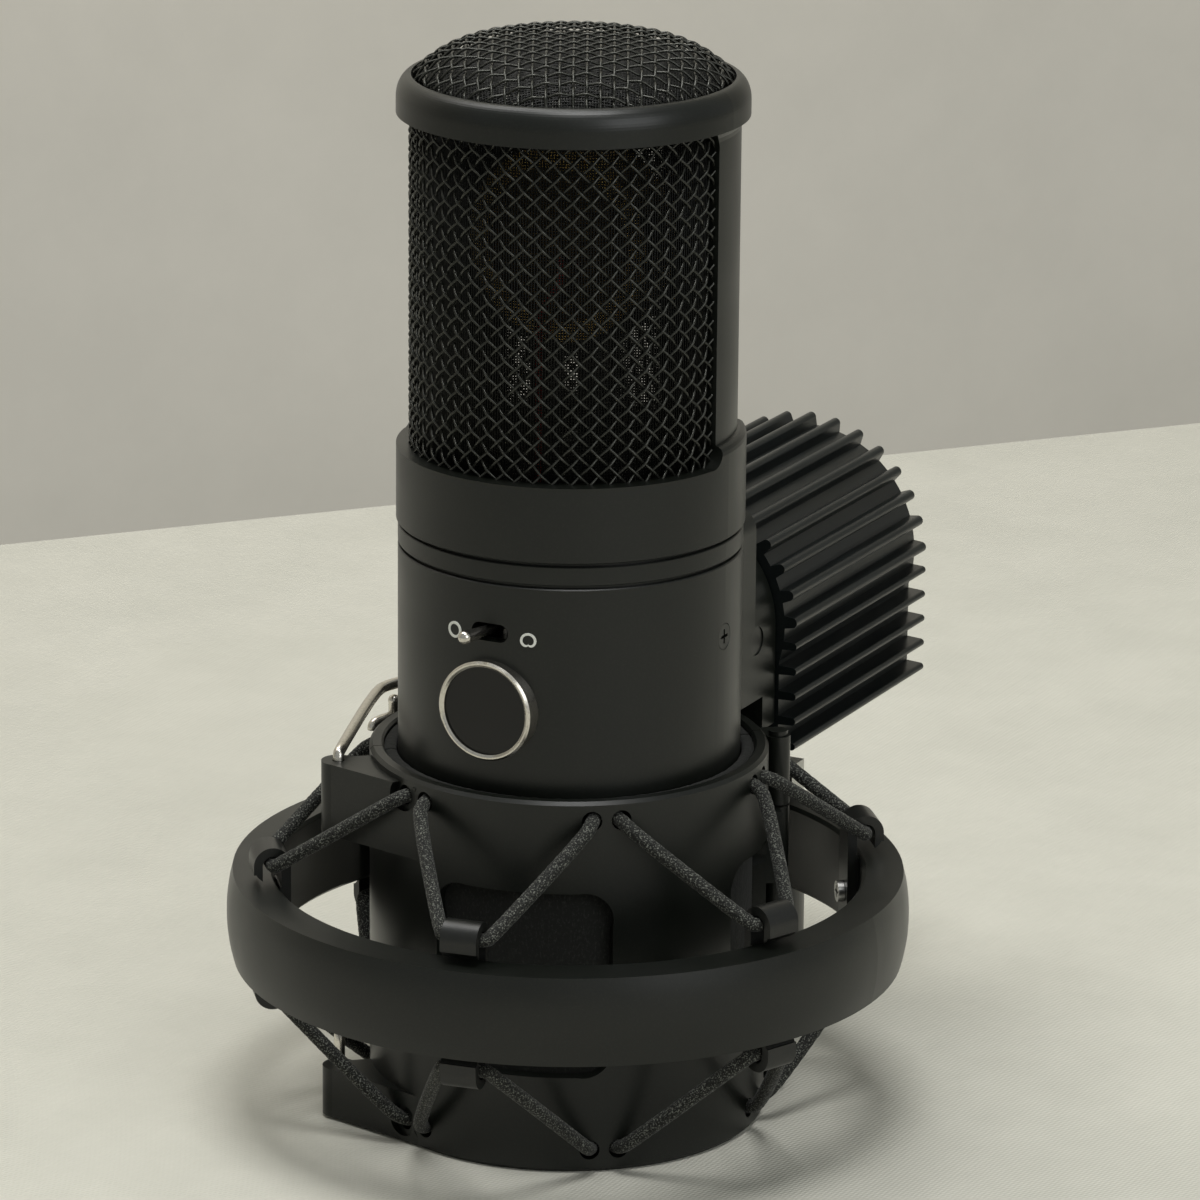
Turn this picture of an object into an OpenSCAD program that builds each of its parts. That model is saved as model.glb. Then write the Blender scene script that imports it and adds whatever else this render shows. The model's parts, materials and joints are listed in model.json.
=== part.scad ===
// Tube condenser microphone with a finned cooler, standing in its elastic shock mount.
// Millimetres. +Z is up along the microphone's axis, the table is z = 0, the front (badge) faces -Y.
// An azimuth is in degrees from the front, growing toward +X.

/* [Microphone body] */
// Outside diameter of the body tube
body_d = 60; // [56:1:66]
// Wall of the body tube
body_wall = 2; // [1.5:0.25:3]
// Length of the body tube
body_len = 98.8; // [96:0.2:112]
// Height of the narrow ring between the two grooves
middle_h = 3.3; // [2:0.1:6]
// Width of each groove
groove_w = 0.6; // [0.4:0.1:1.2]
// Thickness of the plate that closes the bottom of the body
base_t = 4; // [3:0.5:5]

/* [Head] */
// How far the head's two rings stand out past the body
head_proud = 0.3; // [0:0.1:2]
// How far the pillars stand back from the rings
pillar_step = 1.6; // [1:0.1:2]
// Wall of the head frame
head_wall = 3.7; // [3.4:0.1:4.2]
// Height of the lower ring
low_ring_h = 13.3; // [10:0.1:18]
// Height of the windows
window_h = 58.2; // [50:0.2:70]
// Height of the upper ring
top_ring_h = 6.7; // [6:0.1:9]
// Half angle of the front window
front_half = 86.3; // [75:0.1:88]
// Half angle of the rear window
rear_half = 56; // [45:1:70]
// Corner radius of the windows
window_r = 3; // [2:0.5:5]
// Height of the wire dome above its edge
dome_h = 6.6; // [5:0.1:10]
// Width of the upper ring around the dome
dome_edge = 2.7; // [2.2:0.1:3]
// Wire of the outer mesh
wire_d = 0.62; // [0.5:0.02:0.8]

/* [Capsule] */
// Diameter of the capsule
capsule_d = 34; // [30:1:36]
// Thickness of the capsule's brass body
capsule_t = 7; // [6:0.5:10]
// Width of the gold rim around each diaphragm
rim_w = 3.5; // [2.5:0.5:5]
// Thickness of each rim
rim_t = 2.2; // [1.5:0.1:3]
// Height of the capsule's centre above the deck
capsule_rise = 43; // [38:1:45]

/* [Front controls] */
// Depth of the switch's centre below the top of the body
switch_drop = 8.6; // [8:0.2:12]
// Width of the slot that the lever moves in
slot_w = 7; // [6.5:0.1:8]
// Height of the slot
slot_h = 3.2; // [3:0.1:4]
// Travel of the lever between its two places
lever_swing = 23; // [15:1:24]
// Length of the lever in front of its pivot
lever_len = 11.2; // [10:0.2:13]
// Diameter of the lever's tip
lever_tip_d = 2.4; // [2:0.1:2.8]
// Depth of the badge's centre below the top of the body
badge_drop = 22.2; // [20.8:0.2:27]
// Diameter of the badge
badge_d = 17.6; // [14:0.2:18]
// Width of the badge's bright rim
badge_rim_w = 1; // [0.6:0.1:2]
// How far the badge stands proud of the body
badge_proud = 2; // [1:0.1:3]

/* [Cooler] */
// Half width of the bracket and of the finned block's root
root_half = 20; // [18:0.5:21]
// Height of the arch's centre above the bottom of the body
arch_rise = 75; // [70:0.5:76]
// Depth of the bracket behind the body
bracket_depth = 11.6; // [10:0.2:14]
// Depth of the bracket's tall saddle plate behind the body
saddle_depth = 3; // [2:0.5:6]
// Length of the finned block
sink_len = 56; // [40:1:64]
// Depth of the fins
fin_depth = 4; // [3:0.5:5]
// Thickness of a fin at its tip
fin_tip = 1.35; // [1:0.05:1.8]
// Angle between the fins on the arch
fin_angle = 12.5; // [10:0.5:15]
// Distance between the fins on the straight sides
fin_pitch = 4.7; // [4:0.1:5.5]
// Number of fins on each straight side
side_fins = 5; // [4:1:5]

/* [Cradle] */
// Thickness of the felt between the microphone and the cradle
felt_t = 2.15; // [1.95:0.05:2.6]
// Height of the cradle's rim
cradle_h = 67.5; // [67:0.5:68]
// Wall of the cradle
cradle_wall = 2.5; // [2.4:0.05:2.6]
// Thickness of the lip that the microphone stands on
lip_t = 4; // [3.8:0.1:4.2]
// Inside diameter of the lip
lip_d = 50; // [40:1:54]
// Bottom edge of the cradle's windows
slot_z = 17.5; // [15:0.5:20]
// Height of the cradle's windows
slot_len = 33.5; // [25:0.5:35]
// Corner radius of the cradle's windows
slot_r = 5; // [3:0.5:7]
// Diameter of the nickel wire of the latch
latch_wire_d = 2; // [1.8:0.1:2.2]

/* [Ring and cords] */
// Largest diameter of the outer ring
ring_d = 120.4; // [118:0.2:126]
// Width of the ring's flat top
ring_w = 7.2; // [6:0.2:7.4]
// Height of the ring
ring_h = 15.8; // [14:0.2:17]
// Height of the ring's underside above the table
ring_z = 28.7; // [26:0.1:31]
// Diameter of the elastic cord
cord_d = 2.5; // [2:0.1:2.6]
// Width of a cord hook
hook_w = 6.5; // [5:0.5:8]

/* [Stand mount] */
// Distance of the swivel's bolt from the axis
swivel_y = 74; // [73:0.5:76]
// Diameter of the swivel's bolt
bolt_d = 5; // [4:0.5:6]
// Bore of the 5/8 inch, 27 threads per inch, stand thread
thread_d = 14.9; // [14.7:0.1:15.1]
// Diameter of the clamp knob
knob_d = 18; // [16:1:22]

/* [Hidden] */

$fn = 96;
// Small clearances: parts fixed together, parts that slide, parts that move past each other
fixed_gap = 0.05;
slide_gap = 0.1;
move_gap = 0.3;
// How far a cutting tool runs past the face that it cuts
over = 1;

// Colours, as photographed
satin_black = [0.09, 0.09, 0.09];
sink_black = [0.07, 0.08, 0.11];
felt_black = [0.05, 0.05, 0.05];
cord_black = [0.12, 0.12, 0.12];
nickel = [0.78, 0.76, 0.72];
steel = [0.7, 0.7, 0.72];
gold = [0.85, 0.68, 0.35];
brass = [0.75, 0.6, 0.3];
copper = [0.75, 0.45, 0.3];

// Body stack
body_r = body_d / 2;
body_in_r = body_r - body_wall;
seat_pad_t = 0.9;
mic_z = lip_t + seat_pad_t + slide_gap;
base_top = mic_z + base_t;
body_top = mic_z + body_len;
middle_z = body_top + groove_w;
middle_top = middle_z + middle_h;
head_z = middle_top + groove_w;
groove_r = body_r - 0.8;
spigot_r = body_in_r - fixed_gap;
spigot_t = 2.4;
spigot_len = 4;
spigot_top = head_z + spigot_len;

// Head stack
head_r = body_r + head_proud;
pillar_r = head_r - pillar_step;
head_bore_r = head_r - head_wall;
window_z = head_z + low_ring_h;
window_top = window_z + window_h;
head_top = window_top + top_ring_h;
ring_round = 1.8;
top_round = 3.9;
low_round = 3.5;
dome_r = head_r - dome_edge;
mesh_t = 2 * wire_d;
mesh_r = pillar_r - 0.5;
mesh_gap = 0.1;
deck_t = 2.5;
deck_z = spigot_top;
deck_top = deck_z + deck_t;
inner_mesh_t = 0.4;
inner_mesh_r = head_bore_r - slide_gap;
capsule_z = deck_top + capsule_rise;
capsule_r = capsule_d / 2;

// Front controls
switch_z = body_top - switch_drop;
pivot_y = body_r - 6.4;
slot_half = (slot_w - slot_h) / 2;
badge_z = body_top - badge_drop;
mark_angle = 13.6;
mark_d = 2.9;
mark_line = 0.45;
mark_t = 0.12;
mark_z = switch_z - 0.7;
screw_head_d = 4.5;
screw_d = 2.4;

// Inner chassis
rail_w = 8;
rail_t = 3;
rail_x = sqrt(pow(body_in_r - slide_gap, 2) - pow(rail_w / 2, 2));
rail_top = head_z - 8.3;
screw_z = rail_top - 9.2;
arch_z = mic_z + arch_rise;
bridge_z = arch_z - 5.6;
shelf_z = bridge_z - 16.4;
shelf_t = 2;
shelf_top = shelf_z + shelf_t;
tube_y = 2;
tube_r = 9;
socket_t = 4;
bridge_half = 8.6;
bridge_h = 17.2;
board_y = 13.6;

// Cooler
bracket_y = body_r + bracket_depth;
saddle_y = body_r + saddle_depth;
bracket_z = cradle_h + 0.8;
saddle_top = body_top + 0.2;
saddle_round = 4;
foot_in_x = 13;
foot_t = 5;
foot_drop = 6.3;
plug_r = 2.6;
plug_z = arch_z - 0.6;
sink_y = bracket_y + 0.4;
sink_end = sink_y + sink_len;
fin_root = 1.8;
arch_base_r = root_half + 1.6;
side_base = root_half + 0.6;
fin_reach = root_half + fin_depth;
arch_fin_root = 2.6;
arch_fin_tip = 1.9;
stud_x = 13;
stud_r = 1.5;
stud_len = 12;
first_side_fin = 3.4;
sink_bottom = arch_z - first_side_fin - (side_fins - 1) * fin_pitch - fin_root / 2;

// Cradle
liner_in_r = body_r + move_gap;
liner_r = liner_in_r + felt_t;
cradle_in_r = liner_r + fixed_gap;
cradle_r = cradle_in_r + cradle_wall;
liner_top = cradle_h - 0.6;
split_front = -56;
split_back = 128;
split_gap = 0.35;
slots = [[-13, 40], [81, 119.5], [167, 220], [257, 297]];
hinge_r = cradle_r + 2.5;
hinge_barrel_r = 2.2;
hinge_pin_r = 1.1;
rear_knuckles = [[3, 16], [28, 40], [54, 66.5]];
front_knuckles = [[16.4, 27.6], [40.4, 53.6]];
latch_r = latch_wire_d / 2;
link_angle = -52;
link_r = cradle_r + 5.9;
link_bosses = [[0.5, 9.5], [53, 66]];
link_boss_r = 3;
flare_turn = 36;
lever_angle = -100;
lever_r = cradle_r + 4.3;
lever_boss = [52, 59];
lever_boss_r = 2.6;
link_top_z = 70;
link_low_z = 16;
lever_z = 64;
ball_rise = 3;

// Ring, hooks and cords
ring_r = ring_d / 2;
ring_edge = 1.1;
ring_in_r = ring_r - ring_edge - ring_w;
ring_top = ring_z + ring_h;
ring_mid = ring_z + ring_h / 2;
hook_angles = [for (k = [0:5]) 8 + 60 * k];
hook_rise = 7;
hook_in_r = ring_in_r - 2.1;
hook_out_r = hook_in_r + 6.5;
channel_r = 1.65;
channel_mid = hook_in_r + 3.3;
hook_arch = (hook_out_r - hook_in_r) / 2;
hook_mid_z = ring_top + hook_rise - hook_arch;
hook_leg = 1.6;
clip_screw_r = 1.25;
clip_head_r = 1.9;
clip_head_t = 1.1;
clip_screw_end = ring_r - 4;

// Cord holes: pairs halfway between the hooks, at one height above and one below the cradle's windows
hole_angles = [for (k = [0:5]) 38 + 60 * k];
hole_half = 4.2;
hole_r = cord_d / 2 + 0.5;
pocket_half = 4.1;
pocket_rise = hole_r + 0.15;
pocket_out_r = cradle_in_r + 1.7;
pocket_in_r = body_r + 1.2;
upper_hole_z = cradle_h - 3.4;
lower_hole_z = 4.2;
cord_r = cord_d / 2;
cord_sides = 8;
upper_hook_z = hook_mid_z;
lower_hook_z = 2 * ring_mid - upper_hook_z;
// Half of one zigzag of a cord: azimuth from the hole pair, radius, share of the way to the hook's height
cord_half = [[0, 32.6, 0], [3.2, 32.8, 0], [4.3, 35.4, 0.01], [6.4, 37.9, 0.1],
             [25, 52.6, 0.97], [26.2, 53.1, 1], [30, 53.1, 1]];

// Stand mount
lug_half = 16;
lug_in = 57;
lug_y = ring_r + 3;
lug_z = ring_z - 2.7;
lug_top = ring_top + 3.9;
ear_x = 8.6;
ear_t = 3;
ear_r = 7;
swivel_z = ring_mid - 5.6;
lug_screw_x = ear_x + ear_t + clip_head_r + 0.3;
lug_screw_z = [ring_mid - 4.6, ring_mid + 4.6];
bolt_r = bolt_d / 2;
socket_r = 10.4;
socket_z = 8;
socket_top = swivel_z - ear_r - 1.5;
thread_r = thread_d / 2;
thread_len = 12.5;
bush_r = 9;
knob_r = knob_d / 2;
knob_t = 10;
knob_x = ear_x + ear_t + 3;

// Point at azimuth a, radius r and height z
function polar(a, r, z = 0) = [r * sin(a), -r * cos(a), z];
function unit(v) = v / norm(v);

module at_az(a, r = 0, z = 0) {
    rotate([0, 0, a]) translate([0, -r, z]) children();
}

module pipe(r_out, r_in, z0, z1) {
    rotate_extrude() translate([r_in, z0]) square([r_out - r_in, z1 - z0]);
}

module disc(r, z0, z1) {
    translate([0, 0, z0]) cylinder(r = r, h = z1 - z0);
}

// Cylinder that lies along -Y at azimuth a, from radius r0 to radius r1
module spoke(a, z, r, r0, r1) {
    at_az(a, r0, z) rotate([90, 0, 0]) cylinder(r = r, h = r1 - r0);
}

// Slice of the space around the axis between two azimuths
module sector(a0, a1, z0, z1, r = 80) {
    translate([0, 0, z0]) linear_extrude(z1 - z0)
        polygon(concat([[0, 0]], [for (i = [0:8]) let (p = polar(a0 + (a1 - a0) * i / 8, r)) [p[0], p[1]]]));
}

// Round-cornered window through a wall of radius wall_r, made smaller by gap all round
module arc_window(a0, a1, z0, z1, corner, wall_r, gap = 0) {
    turn = (corner + gap) / wall_r * 180 / PI;
    gap_turn = gap / wall_r * 180 / PI;
    sector(a0 + gap_turn, a1 - gap_turn, z0 + gap + corner, z1 - gap - corner);
    sector(a0 + turn, a1 - turn, z0 + gap, z1 - gap);
    for (a = [a0 + turn, a1 - turn])
        for (z = [z0 + gap + corner, z1 - gap - corner])
            spoke(a, z, corner * 1.02, wall_r / 3, wall_r + 20);
}

// Closed or open tube of polygon section through a list of points
module sweep(points, r, sides, closed = false) {
    n = len(points);
    function at(i) = closed ? points[(i + n) % n] : points[max(0, min(n - 1, i))];
    rings = [
        for (i = [0:n - 1])
            let (along = unit(unit(at(i + 1) - at(i) + (at(i + 1) == at(i) ? at(i) - at(i - 1) : [0, 0, 0]))
                              + unit(at(i) - at(i - 1) + (at(i) == at(i - 1) ? at(i + 1) - at(i) : [0, 0, 0]))),
                 helper = abs(along[2]) > 0.9 ? [along[0] + 1, along[1], 0] : [0, 0, 1],
                 side = unit(cross(along, helper)),
                 up = cross(side, along))
            for (j = [0:sides - 1])
                at(i) + r * (cos(360 * j / sides) * side + sin(360 * j / sides) * up)
    ];
    spans = closed ? n : n - 1;
    walls = [
        for (i = [0:spans - 1])
            for (j = [0:sides - 1])
                let (a = i * sides + j,
                     b = i * sides + (j + 1) % sides,
                     c = ((i + 1) % n) * sides + (j + 1) % sides,
                     d = ((i + 1) % n) * sides + j)
                each [[a, b, c], [a, c, d]]
    ];
    start_cap = closed ? [] : [for (j = [1:sides - 2]) [0, j + 1, j]];
    last = (n - 1) * sides;
    end_cap = closed ? [] : [for (j = [1:sides - 2]) [last, last + j, last + j + 1]];
    polyhedron(concat(rings), concat(walls, start_cap, end_cap));
}

module cradle_section() {
    polygon([
        [cradle_in_r, lip_t], [lip_d / 2, lip_t], [lip_d / 2, 0.6], [lip_d / 2 + 0.6, 0], [cradle_r - 0.8, 0],
        [cradle_r, 0.8], [cradle_r, cradle_h - 0.6], [cradle_r - 0.6, cradle_h],
        [cradle_in_r + 0.4, cradle_h], [cradle_in_r, cradle_h - 0.4]
    ]);
}

// Pocket behind a pair of cord holes, cut in the shell and in the liner
module cord_pockets() {
    for (a = hole_angles)
        for (z = [lower_hole_z, upper_hole_z])
            at_az(a, 0, z) translate([-pocket_half, -pocket_out_r, -pocket_rise])
                cube([2 * pocket_half, pocket_out_r - pocket_in_r, 2 * pocket_rise]);
}

module cord_holes() {
    for (a = hole_angles)
        for (side = [-1, 1])
            for (z = [lower_hole_z, upper_hole_z])
                spoke(a + side * hole_half, z, hole_r, cradle_in_r - 1, cradle_r + over);
}

module shell_wall(a0, a1) {
    difference() {
        intersection() {
            rotate_extrude() cradle_section();
            sector(a0, a1, -over, cradle_h + over);
        }
        for (s = slots)
            if (s[0] > a0 && s[1] < a1)
                difference() {
                    arc_window(s[0], s[1], slot_z, slot_z + slot_len, slot_r, cradle_r);
                    disc(lip_d / 2, slot_z - over, slot_z + slot_len + over);
                }
        cord_pockets();
        cord_holes();
    }
}

// Hinge knuckles with their webs; side is -1 for the door and 1 for the fixed half
module knuckles(spans, side) {
    web = 4.5;
    for (s = spans)
        at_az(split_back, 0, s[0]) difference() {
            union() {
                translate([0, -hinge_r, 0]) cylinder(r = hinge_barrel_r, h = s[1] - s[0]);
                translate([side > 0 ? split_gap : -web, -hinge_r, 0])
                    cube([web - split_gap, hinge_r - cradle_r + 0.7, s[1] - s[0]]);
            }
            translate([0, -hinge_r, -over])
                cylinder(r = hinge_pin_r + (side > 0 ? 0.02 : slide_gap / 2), h = s[1] - s[0] + 2 * over);
        }
}

module boss(a, r, boss_r, span) {
    web_half = boss_r * 0.55;
    at_az(a, 0, span[0]) difference() {
        union() {
            translate([0, -r, 0]) cylinder(r = boss_r, h = span[1] - span[0]);
            translate([-web_half, -r, 0]) cube([2 * web_half, r - cradle_r + 0.7, span[1] - span[0]]);
        }
        translate([0, -r, -over]) cylinder(r = latch_r + slide_gap, h = span[1] - span[0] + 2 * over);
    }
}

// Wall that runs straight from the door's curve out to one of its link bosses
module link_flare(span) {
    lean = acos((cradle_r - link_boss_r) / link_r);
    out = link_boss_r - 0.12;
    difference() {
        at_az(link_angle, 0, span[0]) linear_extrude(span[1] - span[0]) polygon(concat(
            [[out * sin(lean), -link_r - out * cos(lean)], [0, -link_r]],
            [for (i = [0:6]) (cradle_r - 0.8) * [sin(flare_turn * i / 6), -cos(flare_turn * i / 6)]],
            [(cradle_r - 0.25) * [sin(flare_turn), -cos(flare_turn)]]
        ));
        at_az(link_angle, link_r, span[0] - over)
            cylinder(r = latch_r + slide_gap, h = span[1] - span[0] + 2 * over);
        for (side = [-1, 1])
            for (z = [lower_hole_z, upper_hole_z])
                spoke(hole_angles[5] + side * hole_half, z, hole_r + 1.1, cradle_r - 2, cradle_r + 4);
    }
}

module rear_shell() {
    color(satin_black) union() {
        shell_wall(split_back + split_gap / 2, split_front + 360 - split_gap / 2);
        knuckles(rear_knuckles, 1);
        boss(lever_angle, lever_r, lever_boss_r, lever_boss);
    }
}

module front_shell() {
    color(satin_black) union() {
        shell_wall(split_front + split_gap / 2, split_back - split_gap / 2);
        knuckles(front_knuckles, -1);
        for (span = link_bosses) {
            boss(link_angle, link_r, link_boss_r, span);
            link_flare(span);
        }
    }
}

module liner(a0, a1) {
    foot_in = lip_d / 2 + 0.5;
    foot_z = lip_t + fixed_gap;
    difference() {
        intersection() {
            rotate_extrude() polygon([
                [foot_in, foot_z], [liner_r, foot_z], [liner_r, liner_top], [liner_in_r, liner_top],
                [liner_in_r, mic_z - slide_gap], [foot_in, mic_z - slide_gap]
            ]);
            sector(a0, a1, -over, cradle_h + over);
        }
        cord_pockets();
    }
}

module rear_liner() {
    color(felt_black) liner(split_back + split_gap, split_front + 360 - split_gap);
}

module front_liner() {
    color(felt_black) liner(split_front + split_gap, split_back - split_gap);
}

module hinge_pin() {
    low = rear_knuckles[0][0];
    high = rear_knuckles[2][1];
    head_t = 0.8;
    pin_head_r = hinge_pin_r + 0.6;
    color(satin_black) at_az(split_back, hinge_r, 0) {
        disc(hinge_pin_r, low - 0.5, high + 0.3);
        disc(pin_head_r, low - head_t - 0.1, low - 0.1);
        disc(pin_head_r, high + 0.1, high + 0.1 + head_t);
    }
}

// Wire bail that joins the two bosses of the door to the lever
module link_bail() {
    foot = polar(link_angle, link_r);
    eye = polar(lever_angle - 10, lever_r);
    bend = 1.6;
    knee = polar(-92.5, cradle_r + 4.9);
    heel = polar(-99, cradle_r + 5);
    rise = (knee - foot) * 0.03;
    leg_r = latch_r + 0.03;
    turn_z = link_bosses[1][1] + latch_r + 0.3;
    color(nickel) {
        translate([foot[0], foot[1], 0]) {
            disc(leg_r, link_bosses[0][0] + 2, link_low_z - bend);
            disc(leg_r, link_bosses[1][0] + 2, turn_z - 0.6);
        }
        sweep([
            foot + [0, 0, link_low_z - bend - 0.5], foot + [0, 0, link_low_z - bend],
            foot + [-0.2, 0.6, link_low_z - 0.4], foot + [-0.5, bend + 0.3, link_low_z],
            knee + [0, 0, link_low_z], heel + [0, 0, link_low_z], eye + [0, -bend, link_low_z],
            eye + [0, -0.4, link_low_z + 0.5], eye + [0, 0, link_low_z + bend],
            eye + [0, 0, link_top_z - bend], eye + [0, -0.4, link_top_z - 0.5], eye + [0, -bend, link_top_z],
            heel + [0, 0, link_top_z], knee + [0, 0, link_top_z - 0.2], foot + rise + [0, 0, turn_z + 0.1],
            foot + [0, 0, turn_z - 0.4], foot + [0, 0, turn_z - 1]
        ], latch_r, 10);
    }
}

// Wire lever: a pivot leg in its boss with a ball on top, a short nose, and a bow that holds the bail in
module latch_lever() {
    pivot = polar(lever_angle, lever_r);
    bow = [[-92.5, 5.3, -1.3], [-92.5, 5.3, -0.6], [-93.6, 5.1, 0], [-100, 4.5, 0], [-105, 6.6, 0],
           [-110, 7.2, 0], [-116, 6.8, 0], [-122, 6.2, 0], [-126, 6.6, 0], [-128.5, 8, 0]];
    color(nickel) {
        translate([pivot[0], pivot[1], 0]) {
            disc(latch_r, lever_boss[0] + 0.5, lever_z + ball_rise);
            translate([0, 0, lever_z + ball_rise]) sphere(r = latch_r + 0.15);
        }
        sweep([for (p = bow) polar(p[0], cradle_r + p[1], lever_z + p[2])], latch_r, 10);
    }
}

module outer_ring() {
    bulge = (pow(ring_h / 2, 2) + pow(ring_edge, 2)) / (2 * ring_edge);
    color(satin_black) difference() {
        rotate_extrude() difference() {
            intersection() {
                translate([ring_in_r, ring_z]) square([ring_r - ring_in_r + over, ring_h]);
                translate([ring_r - bulge, ring_mid]) circle(r = bulge, $fn = 180);
            }
            for (z = [ring_z, ring_top])
                translate([ring_in_r, z]) rotate(45) square(0.9, center = true);
        }
        for (a = hook_angles)
            spoke(a, ring_mid, clip_screw_r + 0.02, hook_in_r, clip_screw_end + 0.5);
        for (x = [-1, 1])
            for (z = lug_screw_z)
                translate([x * lug_screw_x, 54, z]) rotate([-90, 0, 0]) cylinder(r = clip_screw_r + 0.02, h = 12);
    }
}

// Outline of one hook and half of the clip's spine, in radius and height
module hook_outline() {
    difference() {
        union() {
            translate([hook_in_r, ring_mid])
                square([ring_in_r - 0.15 - hook_in_r, hook_mid_z - ring_mid]);
            translate([hook_in_r, hook_mid_z - hook_leg]) square([2 * hook_arch, hook_leg]);
            translate([hook_in_r + hook_arch, hook_mid_z]) circle(r = hook_arch);
        }
        translate([channel_mid, hook_mid_z]) circle(r = channel_r);
        translate([channel_mid - channel_r, hook_mid_z - 4]) square([2 * channel_r, 4]);
    }
}

module clip(k) {
    color(satin_black) at_az(hook_angles[k]) difference() {
        rotate([90, 0, -90]) translate([0, 0, -hook_w / 2]) linear_extrude(hook_w) {
            hook_outline();
            translate([0, 2 * ring_mid]) mirror([0, 1]) hook_outline();
        }
        translate([0, -hook_in_r + over, ring_mid]) rotate([90, 0, 0]) cylinder(r = clip_screw_r + 0.15, h = 6);
    }
}

module ring_screws() {
    color(steel) {
        for (a = hook_angles) {
            spoke(a, ring_mid, clip_screw_r, hook_in_r - 0.1, clip_screw_end);
            difference() {
                spoke(a, ring_mid, clip_head_r, hook_in_r - 0.05 - clip_head_t, hook_in_r - 0.05);
                at_az(a, hook_in_r - clip_head_t, ring_mid) cube([2.2, 1, 0.5], center = true);
                at_az(a, hook_in_r - clip_head_t, ring_mid) cube([0.5, 1, 2.2], center = true);
            }
        }
        for (x = [-1, 1])
            for (z = lug_screw_z)
                translate([x * lug_screw_x, 0, z]) rotate([-90, 0, 0]) {
                    translate([0, 0, 55]) cylinder(r = clip_screw_r, h = lug_y - 54.5);
                    translate([0, 0, lug_y + 0.05]) cylinder(r = clip_head_r, h = clip_head_t);
                }
    }
}

// Steel lug on the back of the ring, with two ears for the swivel
module stand_lug() {
    color(steel) difference() {
        union() {
            translate([-lug_half, lug_in, lug_z]) cube([2 * lug_half, lug_y - lug_in, lug_top - lug_z]);
            for (side = [0, 1])
                mirror([side, 0, 0]) {
                    translate([ear_x, lug_y - over, swivel_z - ear_r])
                        cube([ear_t, swivel_y - lug_y + over, 2 * ear_r]);
                    translate([ear_x, swivel_y, swivel_z]) rotate([0, 90, 0]) cylinder(r = ear_r, h = ear_t);
                }
        }
        disc(ring_r + fixed_gap, lug_z - over, lug_top + over);
        translate([-lug_half, swivel_y, swivel_z]) rotate([0, 90, 0])
            cylinder(r = bolt_r + slide_gap, h = 2 * lug_half);
        for (x = [-1, 1])
            for (z = lug_screw_z)
                translate([x * lug_screw_x, 50, z]) rotate([-90, 0, 0]) cylinder(r = clip_screw_r + 0.1, h = 20);
    }
}

module stand_block() {
    half = ear_x - 0.2;
    color(satin_black) difference() {
        union() {
            translate([-half, swivel_y, swivel_z]) rotate([0, 90, 0]) cylinder(r = ear_r - 0.5, h = 2 * half);
            translate([-half, swivel_y - 4, socket_top - 4]) cube([2 * half, 8, swivel_z - socket_top + 4]);
            translate([0, swivel_y, 0]) disc(socket_r, socket_z, socket_top);
        }
        translate([-half - over, swivel_y, swivel_z]) rotate([0, 90, 0])
            cylinder(r = bolt_r + slide_gap, h = 2 * half + 2 * over);
        translate([0, swivel_y, 0]) disc(bush_r + 0.02, socket_z - over, socket_z + thread_len);
    }
}

module thread_bush() {
    color(brass) translate([0, swivel_y, 0]) pipe(bush_r, thread_r, socket_z, socket_z + thread_len);
}

module swivel_bolt() {
    color(steel) translate([0, swivel_y, swivel_z]) rotate([0, 90, 0]) {
        disc(bolt_r, -knob_x - 1, ear_x + ear_t + 0.3);
        disc(bolt_r + 1.5, ear_x + ear_t + 0.2, ear_x + ear_t + 1.9);
    }
}

module clamp_knob() {
    lobes = 8;
    color(satin_black) translate([0, swivel_y, swivel_z]) rotate([0, -90, 0]) difference() {
        union() {
            disc(bolt_r + 2.5, ear_x + ear_t + 0.2, knob_x + 0.5);
            disc(knob_r, knob_x, knob_x + knob_t);
        }
        disc(bolt_r + 0.02, ear_x, knob_x + 1.02);
        for (k = [0:lobes - 1])
            rotate(360 * k / lobes) translate([knob_r + 1.2, 0, knob_x - over])
                cylinder(r = 2.4, h = knob_t + 2 * over, $fn = 32);
    }
}

// Closed zigzag cord between the holes at hole_z and the hooks at hook_z
module zigzag(hole_z, hook_z) {
    m = len(cord_half);
    sweep([
        for (a = hole_angles)
            each concat(
                [for (p = cord_half) polar(a + p[0], p[1], hole_z + (hook_z - hole_z) * p[2])],
                [for (i = [m - 2:-1:1]) let (p = cord_half[i])
                    polar(a + 60 - p[0], p[1], hole_z + (hook_z - hole_z) * p[2])])
    ], cord_r, cord_sides, closed = true);
}

module upper_cord() {
    color(cord_black) zigzag(upper_hole_z, upper_hook_z);
}

module lower_cord() {
    color(cord_black) zigzag(lower_hole_z, lower_hook_z);
}

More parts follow.
